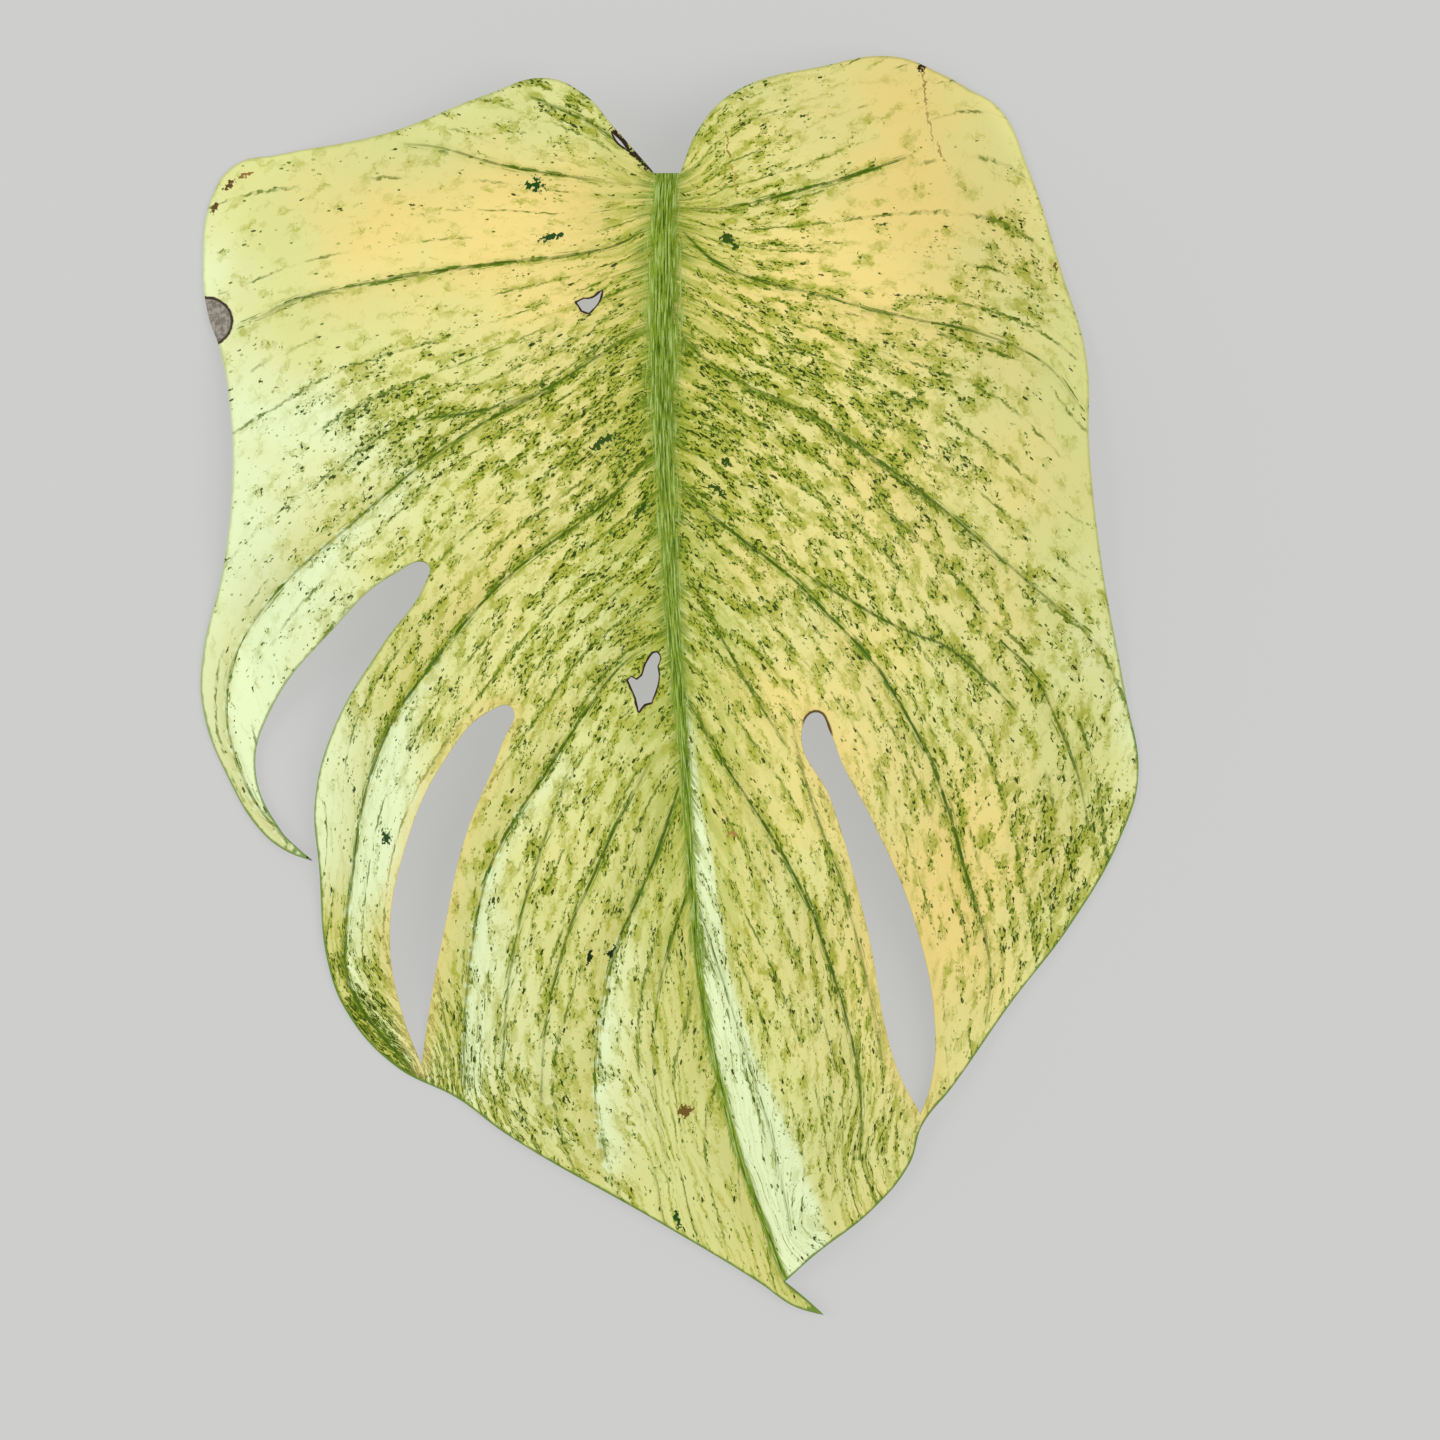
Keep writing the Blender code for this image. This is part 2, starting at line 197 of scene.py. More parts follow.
RIGHT_VEINS = (
    (0.6, ((2.4, 104.5, 0.2), (10, 104, 0.5), (20, 105.6, 0.8), (31, 108.6, 1.0), (41, 111.6, 0.9),
           (52, 115.6, 0.4))),
    (1.3, ((3.4, 99, 0.7), (10, 92.6, 0.9), (20, 88.2, 0.8), (33, 85, 0.6), (44.4, 81.8, 0.6),
           (55.4, 79.6, 0.8), (65, 78, 0.6), (77.4, 74, 0.4), (85, 69, 0.4), (91, 61, 0.3))),
    (1.7, ((3.4, 75.4, 0.6), (9, 70.4, 0.6), (18, 65.2, 0.5), (33.4, 57.8, 0.6), (45, 49.6, 0.65),
           (57.6, 40.4, 0.7), (73, 27.8, 0.6), (84, 18.6, 0.5), (93, 12, 0.4))),
    (2.0, ((3.2, 42.6, 0.5), (9, 37.4, 0.7), (16, 32, 0.9), (26.8, 23.6, 1.0), (35.6, 14.8, 1.0),
           (44.6, 5.4, 0.9), (51.4, -5.2, 0.9), (57.4, -16.4, 1.0), (62, -29, 1.0), (65.4, -41, 0.9),
           (69, -52, 0.6), (71, -63.5, 0.5), (70, -74, 0.4))),
    (1.8, ((3.4, -1.6, 0.5), (11.4, -15.4, 0.8), (20.2, -28.8, 0.9), (27, -40, 1.0),
           (32.3, -51.4, 1.0), (36, -62.4, 0.9), (38.9, -72, 0.7), (41.4, -83, 0.7), (42.4, -93, 0.6),
           (42, -104, 0.4))),
    (0.7, ((6, -46, 0.5), (10.6, -60, 0.5), (17, -80, 0.4), (23, -100, 0.4), (27, -120, 0.3))),
)

# Veins that fork from the laterals: crease depth, then x, y and how green each point is.
BRANCHES = (
    (0.7, ((31.9, 23, 0.7), (46.9, 14.4, 0.9), (54.3, 11.1, 0.9), (60.9, 8.5, 0.8), (69.5, 1.4, 0.7),
           (75.9, -5, 0.5))),
    (0.6, ((72.6, 10, 0.6), (80.3, 2.5, 0.7), (85.6, -8.3, 0.7), (90, -19, 0.6), (92.8, -31.6, 0.5))),
    (0.5, ((-30, 63, 0.4), (-42, 59.6, 0.7), (-55, 57.8, 0.5))),
    (0.9, ((-3.5, -16, 0.3), (-11.7, -31.4, 0.8), (-16, -41, 0.9), (-20.9, -51.6, 0.7),
           (-24.6, -63.5, 0.6), (-27, -76, 0.5), (-28, -92, 0.4))),
    (0.7, ((-20, -14, 0.2), (-27, -34, 0.5), (-32, -50, 0.6), (-35, -66, 0.5), (-36.5, -84, 0.5))),
    (0.5, ((26, -4, 0.3), (31, -24, 0.6), (37.5, -42, 0.5), (43, -62, 0.5), (47, -82, 0.4))),
    (0.6, ((4, 25, 0.3), (12, 10, 0.6), (20, -4, 0.5), (26, -13, 0.4))),
)

# Further lines that the grain follows where no lateral vein runs: x, y.
LEFT_GRAIN = (
    ((-4, 107.5), (-20, 107.5), (-45, 111), (-70, 111.5), (-92, 109)),
    ((-4, 104.5), (-20, 101), (-45, 101), (-72, 99), (-98, 92)),
    ((-4, 92), (-22, 83), (-46, 74), (-70, 66), (-95, 52)),
    ((8, -75), (4, -88), (4, -102), (8, -119)),
    ((14, -98), (13.5, -110), (17, -126)),
)
RIGHT_GRAIN = (
    ((2.7, 112), (7.4, 121), (15, 127.5), (24, 131), (36, 134)),
    ((2.8, 109), (10, 112.5), (24, 119), (40, 126.5), (54, 131.5)),
    ((2.8, 106), (16, 108.5), (34, 114), (52, 121), (66, 125.5)),
    ((3, 101.5), (12, 98), (30, 97), (52, 98), (72, 96), (86, 89)),
    ((3.4, 61), (22, 49), (46, 31), (64, 10), (82, -14), (88, -40)),
    ((4.5, -28), (12, -42), (21, -60), (29, -80), (34, -100), (36, -118)),
    ((9, -78), (14, -92), (19, -106), (25, -120)),
)

# How the tissue is coloured: x, y, share of dark speckles, how warm the cream is.
# Low warmth is pale mint: partly the tissue's tone, partly a painted sheen where margins and lobes face
# the window.
TISSUE = (
    # left half
    (-92, 108, 0.1, 0.45), (-70, 105, 0.12, 0.75), (-50, 105, 0.16, 0.9), (-30, 103, 0.22, 1),
    (-55, 118, 0.22, 0.55), (-34, 124, 0.4, 0.45), (-22, 130, 0.75, 0.45), (-12, 112, 0.35, 0.8),
    (-95, 90, 0.22, 0.25), (-70, 80, 0.14, 0.65), (-40, 82, 0.25, 0.8), (-15, 90, 0.5, 0.9),
    (-14, 76, 0.7, 0.8), (-45, 62, 0.66, 0.6), (-63, 61, 0.82, 0.32), (-90, 60, 0.28, 0.1),
    (-16, 54, 0.86, 0.75), (-45, 45, 0.62, 0.5), (-72, 44, 0.5, 0.25), (-92, 38, 0.32, 0.05),
    (-14, 30, 0.75, 0.55), (-36, 36, 0.55, 0.7), (-85, 8, 0.42, 0.1), (-99, -8, 0.14, 0.05),
    (-90, -22, 0.22, 0.15), (-20, 14, 0.74, 0.45), (-44, 4, 0.6, 0.7), (-62, -4, 0.62, 0.3),
    (-72, -30, 0.34, 0.08), (-64, -50, 0.42, 0.45), (-70, -66, 0.95, 0.5), (-20, -20, 0.6, 0.5),
    (-40, -60, 0.44, 0.42), (-25, -45, 0.58, 0.55), (-30, -75, 0.56, 0.42), (-38, -90, 0.75, 0.4),
    (-6, -68, 0.54, 0.45), (-12, -98, 0.48, 0.42), (8, -118, 0.4, 0.55),
    # right half
    (14, 122, 0.62, 0.65), (40, 130, 0.14, 0.85), (24, 110, 0.6, 0.7), (60, 122, 0.06, 0.85),
    (74, 112, 0.16, 0.72), (26, 96, 0.62, 0.8), (55, 98, 0.16, 0.95), (76, 94, 0.62, 0.68),
    (84, 72, 0.24, 0.6), (14, 86, 0.62, 0.9), (40, 86, 0.4, 0.9), (64, 70, 0.62, 0.65),
    (28, 74, 0.82, 0.78), (20, 52, 0.76, 0.75), (52, 58, 0.75, 0.73), (86, 46, 0.18, 0.64),
    (60, 28, 0.62, 0.73), (88, 24, 0.44, 0.5), (30, 34, 0.66, 0.8), (44, 14, 0.62, 0.7),
    (74, 4, 0.6, 0.58), (98, -6, 0.5, 0.33), (18, 8, 0.66, 0.7), (28, -6, 0.45, 0.9),
    (60, -8, 0.6, 0.65), (82, -24, 0.6, 0.68), (98, -28, 0.66, 0.43), (76, -50, 0.66, 0.73),
    (88, -46, 0.8, 0.63), (56, -50, 0.4, 1), (64, -76, 0.35, 0.7), (38, -42, 0.58, 0.65),
    (20, -44, 0.55, 0.65), (30, -68, 0.6, 0.7), (46, -76, 0.6, 0.73), (14, -72, 0.56, 0.5),
    (24, -96, 0.46, 0.38), (44, -104, 0.66, 0.63), (30, -120, 0.45, 0.52),
)

# Marks on the upper face: x, y, length, width, degrees turned from the X axis, colour.
MARKS = (
    # dark green flecks
    (-29.3, 109, 4.4, 1.7, -5, "#1F4A16"),
    (-28.4, 109.2, 1.5, 3.4, 8, "#1F4A16"),
    (-25.3, 97.6, 4.6, 1.5, 12, "#1C4213"),
    (13, 97.3, 3, 1.9, -25, "#2E4A08"),
    (14.6, 96, 1.8, 1, -40, "#2E4A08"),
    (-13.4, 53.6, 2.8, 1.6, 35, "#2E4A08"),
    (-15.4, 52, 2.4, 1.4, 50, "#2E4A08"),
    (12.8, 48.5, 2.2, 1.5, -20, "#2E4A08"),
    (10.9, 42.5, 3.8, 1.3, -35, "#2E4A08"),
    (-5.6, 38.8, 4, 1.1, 55, "#2E4A08"),
    (-61.8, -33.3, 1.5, 3, 5, "#1C4414"),
    (-17.2, -59.1, 3.6, 1, 78, "#17280F"),
    (-12.3, -58, 3.4, 0.9, 60, "#17280F"),
    (2, -117.4, 4, 1.1, -72, "#1C4A18"),
    # old brown spots
    (3.7, -93.2, 2.8, 2.2, 0, "#6B5220"),
    (14.3, -32.2, 1.6, 1.3, 0, "#A07A40"),
    (-97, 110.8, 2.8, 1.2, 45, "#5E4420"),
    (-100, 105.6, 2.4, 1, 80, "#5E4420"),
    (-93, 112.9, 2.6, 0.8, 15, "#8A6A34"),
    (85.3, 92.7, 1.8, 1.1, -70, "#6F5526"),
    (-78.6, -38, 1.6, 1.2, -35, "#33240F"),
    # a nick at the right shoulder with a healed crack below it
    (55.9, 137.2, 3.8, 1.5, 80, "#2E1C0C"),
    (56.4, 131.5, 9, 0.45, 93, "#A08A4C"),
    (57.4, 123.6, 8.5, 0.35, 100, "#B09A5C"),
    (59.8, 117, 6, 0.35, 112, "#A48E50"),
    (13.2, 117.6, 6, 0.4, 98, "#8A7436"),
    (14.4, 111.4, 7, 0.35, 100, "#A88C48"),
    # the dried strand along the sinus
    (-9.8, 118.8, 8, 1.2, -50, "#2A1C0E"),
    (-6, 114.9, 7.6, 1.3, -44, "#2A2412"),
)

# Two larger spots, stated as the marks are: the browned head of the right split, and the dry patch.
SPLIT_HEAD = (33.4, -7.0, 9.0, 9.0, 0)
DRY_PATCH = (-102.0, 80.4, 12.4, 11.2, 0)

# Where the neck grows out of the midrib's underside: x, y, radius.
NECK_ROOT = ((-1, 76, 2.2), (NECK_X, 88, 3.3))

# The stalk on the surface, from the neck to its cut end: x, y.
STALK = (
    (-0.5, 86), (1.5, 60), (2.5, 25), (0, -15), (-6, -55),
)


# ---------------------------------------------------------------- curves and surfaces


def plate_kernel(distance):
    """The thin-plate spline's radial function, which is zero at its own point."""
    safe = np.maximum(distance, 1e-9)
    return safe**2 * np.log(safe)


def fit_plate(places, values):
    """The smoothest bent plate through values at places."""
    gaps = np.linalg.norm(places[:, None] - places[None], axis=2)
    plane = np.hstack([np.ones((len(places), 1)), places])
    system = np.block([[plate_kernel(gaps), plane], [plane.T, np.zeros((3, 3))]])
    return places, np.linalg.solve(system, np.concatenate([values, np.zeros(3)]))


def read_plate(plate, points):
    places, weights = plate
    gaps = np.linalg.norm(points[:, None] - places[None], axis=2)
    plane = np.hstack([np.ones((len(points), 1)), points])
    return plate_kernel(gaps) @ weights[:-3] + plane @ weights[-3:]


def unit(directions):
    """The same directions, each of length 1."""
    return directions / np.linalg.norm(directions, axis=1)[:, None]


def lengths(line):
    """Length travelled along a line at each of its points."""
    return np.concatenate([[0], np.linalg.norm(np.diff(line, axis=0), axis=1).cumsum()])


def smooth_line(knots, step):
    """Points about a step apart on the smooth curve through the knots, in any dimension."""
    knots = np.array(knots, float)
    padded = np.vstack([2 * knots[0] - knots[1], knots, 2 * knots[-1] - knots[-2]])
    fine = []
    for a, b, c, d in zip(padded, padded[1:], padded[2:], padded[3:]):
        for t in np.linspace(0, 1, 24, endpoint=False):
            bend = 2 * b + (c - a) * t + (2 * a - 5 * b + 4 * c - d) * t**2
            fine.append((bend + (3 * b - a - 3 * c + d) * t**3) / 2)
    return even_steps(np.array([*fine, knots[-1]]), step)


def even_steps(line, step):
    """The same line with points about a step apart, measured in x and y."""
    travelled = lengths(line[:, :2])
    count = max(2, round(travelled[-1] / step) + 1)
    stops = np.linspace(0, travelled[-1], count)
    return np.column_stack([np.interp(stops, travelled, part) for part in line.T])


def to_line(points, line):
    """Distance from each point to a line, steps of the line passed, +1 on its left, else -1."""
    start, step = line[:-1, :2], np.diff(line[:, :2], axis=0)
    offset = points[:, None] - start[None]
    share = np.clip((offset * step).sum(2) / (step**2).sum(1), 0, 1)
    gap = offset - share[..., None] * step
    square = (gap**2).sum(2)
    best = square.argmin(1)
    rows = np.arange(len(points))
    near, ahead = offset[rows, best], step[best]
    side = np.where(ahead[:, 0] * near[:, 1] > ahead[:, 1] * near[:, 0], 1.0, -1.0)
    passed = best + share[rows, best]
    return np.sqrt(square[rows, best]), passed, side


def along(line, passed, column):
    """A column of the line's values, read at the places passed."""
    return np.interp(passed, np.arange(len(line)), line[:, column])


def smooth_step(low, high, value):
    share = np.clip((value - low) / (high - low), 0, 1)
    return share * share * (3 - 2 * share)


def inside(points, loops):
    """Whether each point lies inside the loops, by the even-odd rule."""
    odd = np.zeros(len(points), bool)
    for loop in loops:
        for (ax, ay), (bx, by) in zip(loop, np.roll(loop, -1, axis=0)):
            if ay == by:
                continue
            crosses = (ay > points[:, 1]) != (by > points[:, 1])
            reach = ax + (points[:, 1] - ay) * (bx - ax) / (by - ay)
            odd ^= crosses & (points[:, 0] < reach)
    return odd


def bezier_loop(points):
    """Dense points of one closed Bezier outline, smooth except at its corners."""
    curve = bpy.data.curves.new("outline", "CURVE")
    curve.dimensions = "2D"
    curve.fill_mode = "NONE"
    curve.resolution_u = 16
    spline = curve.splines.new("BEZIER")
    spline.bezier_points.add(len(points) - 1)
    spline.use_cyclic_u = True
    for knot, (x, y, *kind) in zip(spline.bezier_points, points):
        knot.co = (x * MM, y * MM, 0)
        knot.handle_left_type = knot.handle_right_type = "VECTOR" if kind else "AUTO"
    obj = bpy.data.objects.new("outline", curve)
    bpy.context.scene.collection.objects.link(obj)
    bpy.context.view_layer.update()
    mesh = obj.evaluated_get(bpy.context.evaluated_depsgraph_get()).to_mesh()
    dense = np.array([v.co[:2] for v in mesh.vertices]) / MM
    bpy.data.objects.remove(obj)
    return dense


def even_loop(points):
    """An outline as a closed polyline of even steps that keeps its corners."""
    dense = bezier_loop(points)
    corners = np.array([point[:2] for point in points if len(point) == 3])
    stops = [int(np.linalg.norm(dense - corner, axis=1).argmin()) for corner in corners]
    dense = np.roll(dense, -stops[0], axis=0)
    stops = [stop - stops[0] for stop in stops] + [len(dense)]
    dense = np.vstack([dense, dense[:1]])
    runs = [even_steps(dense[a : b + 1], EDGE_STEP)[:-1] for a, b in zip(stops, stops[1:])]
    return np.vstack(runs)


# ---------------------------------------------------------------- lines the leaf grew along

def creased(lines):
    """Veins as smooth lines, each with the depth of its crease."""
    return [(depth, smooth_line(points, CURVE_STEP)) for depth, points in lines]


def fit_column(table, column):
    """The plate through one column of a table whose rows start with x, y."""
    table = np.array(table, float)
    return fit_plate(table[:, :2], table[:, column])


LOOPS = [even_loop(points) for points in OUTLINES]
RIB = smooth_line(MIDRIB, CURVE_STEP)
VEINS = {-1: creased(LEFT_VEINS), 1: creased(RIGHT_VEINS)}
FORKS = creased(BRANCHES)
GRAIN = {
    -1: [smooth_line(points, CURVE_STEP) for points in LEFT_GRAIN],
    1: [smooth_line(points, CURVE_STEP) for points in RIGHT_GRAIN],
}
BLADE = fit_column(HEIGHTS, 2)
SPECKLES = fit_column(TISSUE, 2)
TONE_AND_SHEEN = fit_column(TISSUE, 3)


def blade_height(points):
    """Height of the blade's middle layer, flattened softly where it reaches the surface."""
    bent = read_plate(BLADE, points)
    return (bent + np.hypot(bent, FLOOR_BLEND)) / 2 + BLADE_THICKNESS / 2


def rib_offset(share):
    """The midrib's line moved sideways by a share of its half width."""
    ahead = unit(np.gradient(RIB[:, :2], axis=0))
    return RIB[:, :2] + share * RIB[:, 2:3] * np.column_stack([-ahead[:, 1], ahead[:, 0]])


def flow_plates(side):
    """Plates for one half: lane across the grain, distance out along it, and its direction."""
    lines = [line[:, :2] for line in GRAIN[side] + [vein for _, vein in VEINS[side]]]
    lines.sort(key=lambda line: -line[0, 1])
    middles = np.array([line[len(line) * 2 // 5] for line in lines])
    heads = unit(np.array([line[len(line) * 3 // 5] for line in lines]) - middles)
    starts = [-line[0, 1] for line in lines] + [-TIP_Y]
    lanes = np.abs(np.cross(np.diff(middles, axis=0), heads[1:] + heads[:-1]) / 2).cumsum()
    lanes = np.concatenate([[0], lanes, [lanes[-1] + 14]])
    stations = []
    for x, y in even_steps(RIB, FLOW_STEP)[:, :2]:
        stations.append((x, y, np.interp(-y, starts, lanes), 0.0, 0.45 * side, -0.9))
    for start, line in zip(starts, lines):
        line = even_steps(line, FLOW_STEP)
        steps = np.diff(line, axis=0)
        far = np.linalg.norm(steps, axis=1).cumsum()
        lane = np.full(len(far), np.interp(start, starts, lanes))
        stations += list(zip(*line[1:].T, lane, far, *steps.T / FLOW_STEP))
    stations = np.array(stations)
    return [fit_plate(stations[:, :2], stations[:, column]) for column in (2, 3, 4, 5)]


# ---------------------------------------------------------------- the blade


def guide_lines():
    """Lines that the blade's triangles follow, so that creases and the midrib stay crisp."""
    guides = [RIB[:, :2], rib_offset(1.0), rib_offset(-1.0)]
    broad = RIB[:, 2] > RIB_WIDE
    guides += [rib_offset(share)[broad] for share in (-0.5, 0.5)]
    guides += [vein[:, :2] for _, vein in VEINS[-1] + VEINS[1] + FORKS]
    return [even_steps(line, EDGE_STEP) for line in guides]


def lattice(fixed):
    """Points of a triangular lattice inside the leaf and clear of the fixed points."""
    low, high = LOOPS[0].min(0), LOOPS[0].max(0)
    rows = np.arange(low[1], high[1], LATTICE * math.sqrt(3) / 2)
    spots = []
    for index, y in enumerate(rows):
        xs = np.arange(low[0] + (index % 2) * LATTICE / 2, high[0], LATTICE)
        spots.append(np.column_stack([xs, np.full(len(xs), y)]))
    spots = np.vstack(spots)
    spots = spots[inside(spots, LOOPS)]
    wobble = np.random.default_rng(7).uniform(-0.12, 0.12, spots.shape)
    spots += wobble * LATTICE
    return spots[to_points(spots, fixed) > CLEARANCE]


def triangulate():
    """The blade's outline as points and triangles in its plane."""
    points, edges = [], []
    for loop in LOOPS:
        first = len(points)
        points += list(loop)
        edges += [(first + i, first + (i + 1) % len(loop)) for i in range(len(loop))]
    for line in guide_lines():
        line = line[inside(line, LOOPS)]
        line = line[to_points(line, np.vstack(LOOPS)) > GUIDE_GAP]
        first = len(points)
        points += list(line)
        steps = np.linalg.norm(np.diff(line, axis=0), axis=1)
        edges += [(first + i, first + i + 1) for i, step in enumerate(steps) if step < 2 * EDGE_STEP]
    points += list(lattice(np.array(points)))
    found = delaunay_2d_cdt([Vector(p) for p in points], edges, [], 0, 1e-4)
    places = np.array([tuple(p) for p in found[0]])
    faces = np.array(found[2])
    return drop_unused(places, faces[inside(places[faces].mean(1), LOOPS)])


def drop_unused(places, faces):
    used, faces = np.unique(faces, return_inverse=True)
    return places[used], faces.reshape(-1, 3)


def lateral_facts(points):
    """Crease depth, distance to the nearest lateral vein, its green, and the ribs underneath."""
    crease = np.zeros(len(points))
    gap = np.full(len(points), FAR)
    green = np.zeros(len(points))
    under = np.zeros(len(points))
    for depth, vein in VEINS[-1] + VEINS[1] + FORKS:
        away, passed, _ = to_line(points, vein)
        share = passed / (len(vein) - 1)
        grown = depth * smooth_step(-0.1, 0.35, share) * (1 - 0.6 * smooth_step(0.7, 1, share))
        rounded = np.sqrt(away**2 + 0.2) - math.sqrt(0.2)
        crease = np.maximum(crease, CREASE_GAIN * grown * np.exp(-rounded / CREASE_REACH))
        rib = (0.45 + 0.8 * (1 - share)) * np.exp(-((away / 1.1) ** 2))
        under = np.maximum(under, rib * min(1.0, 0.4 + depth / 2))
        nearer = away < gap
        green = np.where(nearer, along(vein, passed, 2), green)
        gap = np.minimum(gap, away)
    return crease, gap, np.clip(green, 0, 1), under


def midrib_facts(points):
    """Signed distance from the midrib, and its half width and channel depth there."""
    away, passed, side = to_line(points, RIB)
    return away * side, along(RIB, passed, 2), along(RIB, passed, 3)


def channel(offset, depth):
    """The V that the midrib lies in: steep and narrow on its right, broader on its left."""
    right = offset > 0  # the line runs towards the tip, so its left is the leaf's right
    width = np.where(right, CHANNEL_RIGHT, CHANNEL_LEFT)
    return depth * np.clip(1 - np.abs(offset) / width, 0, 1) ** 1.6


def wrinkles(points):
    """Gentle unevenness of grown tissue."""
    return np.array([
        sum(height * noise.noise((x / size, y / size, layer)) for size, layer, height in WRINKLES)
        for x, y in points
    ])


def blade_mesh():
    """Both faces and the rim of the blade as one closed mesh, and facts about its points."""
    points, faces = triangulate()
    crease, gap, green, under = lateral_facts(points)
    offset, half, depth = midrib_facts(points)
    reach = np.abs(offset) / half
    middle = blade_height(points)
    calm = smooth_step(0.4, FLOOR_CALM, middle)
    band = np.where(reach < 1, RIB_RISE * half * (1 - reach**2), 0.0)
    groove = 0.22 * np.exp(-(((np.abs(offset) - 1.15 * half) / 0.8) ** 2)) * np.clip(half / 3, 0, 1)
    relief = band - groove - channel(offset, depth) - crease * smooth_step(0.6, 3.0, reach)
    top = middle + BLADE_THICKNESS / 2 + calm * (relief + wrinkles(points))
    rib = RIB_HANG * half * np.clip(1 - (reach / 1.25) ** 2, 0, None) ** 0.7
    bottom = top - BLADE_THICKNESS - np.maximum(rib, under) * smooth_step(0.5, 3.0, middle)
    bottom = np.maximum(bottom, np.minimum(top - 0.3, 0.12))
    shape = stitch(points, top, bottom, faces)
    facts = blade_facts(points, gap, green, reach, offset)
    return shape, facts


def boundary_edges(faces):
    """Directed edges that only one triangle has."""
    edges = np.vstack([faces[:, [0, 1]], faces[:, [1, 2]], faces[:, [2, 0]]])
    known = {tuple(edge) for edge in edges}
    return np.array([edge for edge in edges if (edge[1], edge[0]) not in known])


def stitch(points, top, bottom, faces):
    """Vertices and faces of the closed blade, and which of its points lie on the rim."""
    first, second, third = (points[faces[:, corner]] for corner in range(3))
    area = np.cross(second - first, third - first)
    faces = np.where(area[:, None] > 0, faces, faces[:, ::-1])
    rim = boundary_edges(faces)
    count = len(points)
    outward = np.zeros((count, 2))
    run = points[rim[:, 1]] - points[rim[:, 0]]
    normal = np.column_stack([run[:, 1], -run[:, 0]])
    for end in (0, 1):
        np.add.at(outward, rim[:, end], normal)
    edge = np.unique(rim)
    outward = outward[edge] / np.maximum(np.linalg.norm(outward[edge], axis=1), 1e-6)[:, None]
    bulge = np.column_stack([points[edge] + RIM_BULGE * outward, (top + bottom)[edge] / 2])
    place = np.full(count, -1)
    place[edge] = np.arange(len(edge)) + 2 * count
    verts = np.vstack([np.column_stack([points, top]), np.column_stack([points, bottom]), bulge])
    shell = [tuple(face) for face in faces] + [tuple(face[::-1] + count) for face in faces]
    for a, b in rim:
        shell.append((b, a, place[a], place[b]))
        shell.append((place[b], place[a], a + count, b + count))
    return verts, shell, edge


def to_points(places, fixed):
    """Distance from each place to the nearest of the fixed points."""
    tree = kdtree.KDTree(len(fixed))
    for index, (x, y) in enumerate(fixed):
        tree.insert((x, y, 0), index)
    tree.balance()
    return np.array([tree.find((x, y, 0))[2] for x, y in places])


def to_loops(places, loops):
    """Distance from each place to closed polylines."""
    shares = np.arange(0, 1, 0.25)[:, None, None]
    dense = [loop + shares * (np.roll(loop, -1, axis=0) - loop) for loop in loops]
    return to_points(places, np.vstack([part.reshape(-1, 2) for part in dense]))


def painted_fold_light(points, offset):
    """Painted light on the folds: how pale a painted sheen makes the side of each fold facing the
    window, and how dull painted shade makes the other.
    """
    lower = smooth_step(20, -40, points[:, 1])
    wide = np.interp(points[:, 1], (-135, -112, -100, -69, -47, -20), (11.0, 13.5, 12.0, 8.0, 6.2, 3.5))
    painted_fold_sheen = 0.85 * lower * (offset > 0) * (1 - smooth_step(0.6, 1.2, offset / wide))
    painted_fold_shade = 0.9 * lower * np.where(offset < 0, np.exp(np.minimum(offset, 0) / 7.0), 0)
    for _, vein in VEINS[-1][:-1]:
        away, passed, side = to_line(points, vein)
        grown = smooth_step(0.1, 0.5, passed / (len(vein) - 1)) * (offset < 0)
        grown *= 1 - smooth_step(25, 58, points[:, 1])
        painted_fold_sheen = np.maximum(painted_fold_sheen, 0.5 * grown * np.exp(-away / 4.5) * (side > 0))
        painted_fold_shade = np.maximum(painted_fold_shade, 0.85 * grown * np.exp(-away / 7.5) * (side < 0))
    return painted_fold_sheen, painted_fold_shade * (1 - painted_fold_sheen)


def blade_facts(points, gap, green, reach, offset):
    """Numbers that the tissue's colours are worked out from, for each point of the blade."""
    left = [read_plate(plate, points) for plate in flow_plates(-1)]
    right = [read_plate(plate, points) for plate in flow_plates(1)]
    on_right = offset > 0
    lane, outward, run_x, run_y = (np.where(on_right, b, a) for a, b in zip(left, right))
    pace = np.hypot(run_x, run_y)
    # Painted sheen and painted shade on the two sides of each fold.
    painted_fold_sheen, painted_fold_shade = painted_fold_light(points, offset)
    return {
        "lane": lane + 400 * on_right,
        "outward": outward,
        "run_x": run_x / pace,
        "run_y": run_y / pace,
        "vein_gap": gap,
        "vein_green": green,
        "rib_reach": np.minimum(reach, 6.0),
        "rib_across": offset,
        "rib_along": points[:, 1],
        "speckles": np.clip(read_plate(SPECKLES, points), 0, 1),
        # The painted sheen is taken off the tone, which turns the folds that face the window towards
        # mint.
        "tone_and_sheen": np.clip(read_plate(TONE_AND_SHEEN, points), 0, 1) - painted_fold_sheen,
        "painted_fold_shade": painted_fold_shade,
        "edge": to_loops(points, LOOPS[:1]),
        "split_edge": to_loops(points, LOOPS[1 : 1 + len(SPLITS)]),
        "tear_edge": to_loops(points, LOOPS[-len(TEARS) :]),
    }


# ---------------------------------------------------------------- neck and stalk


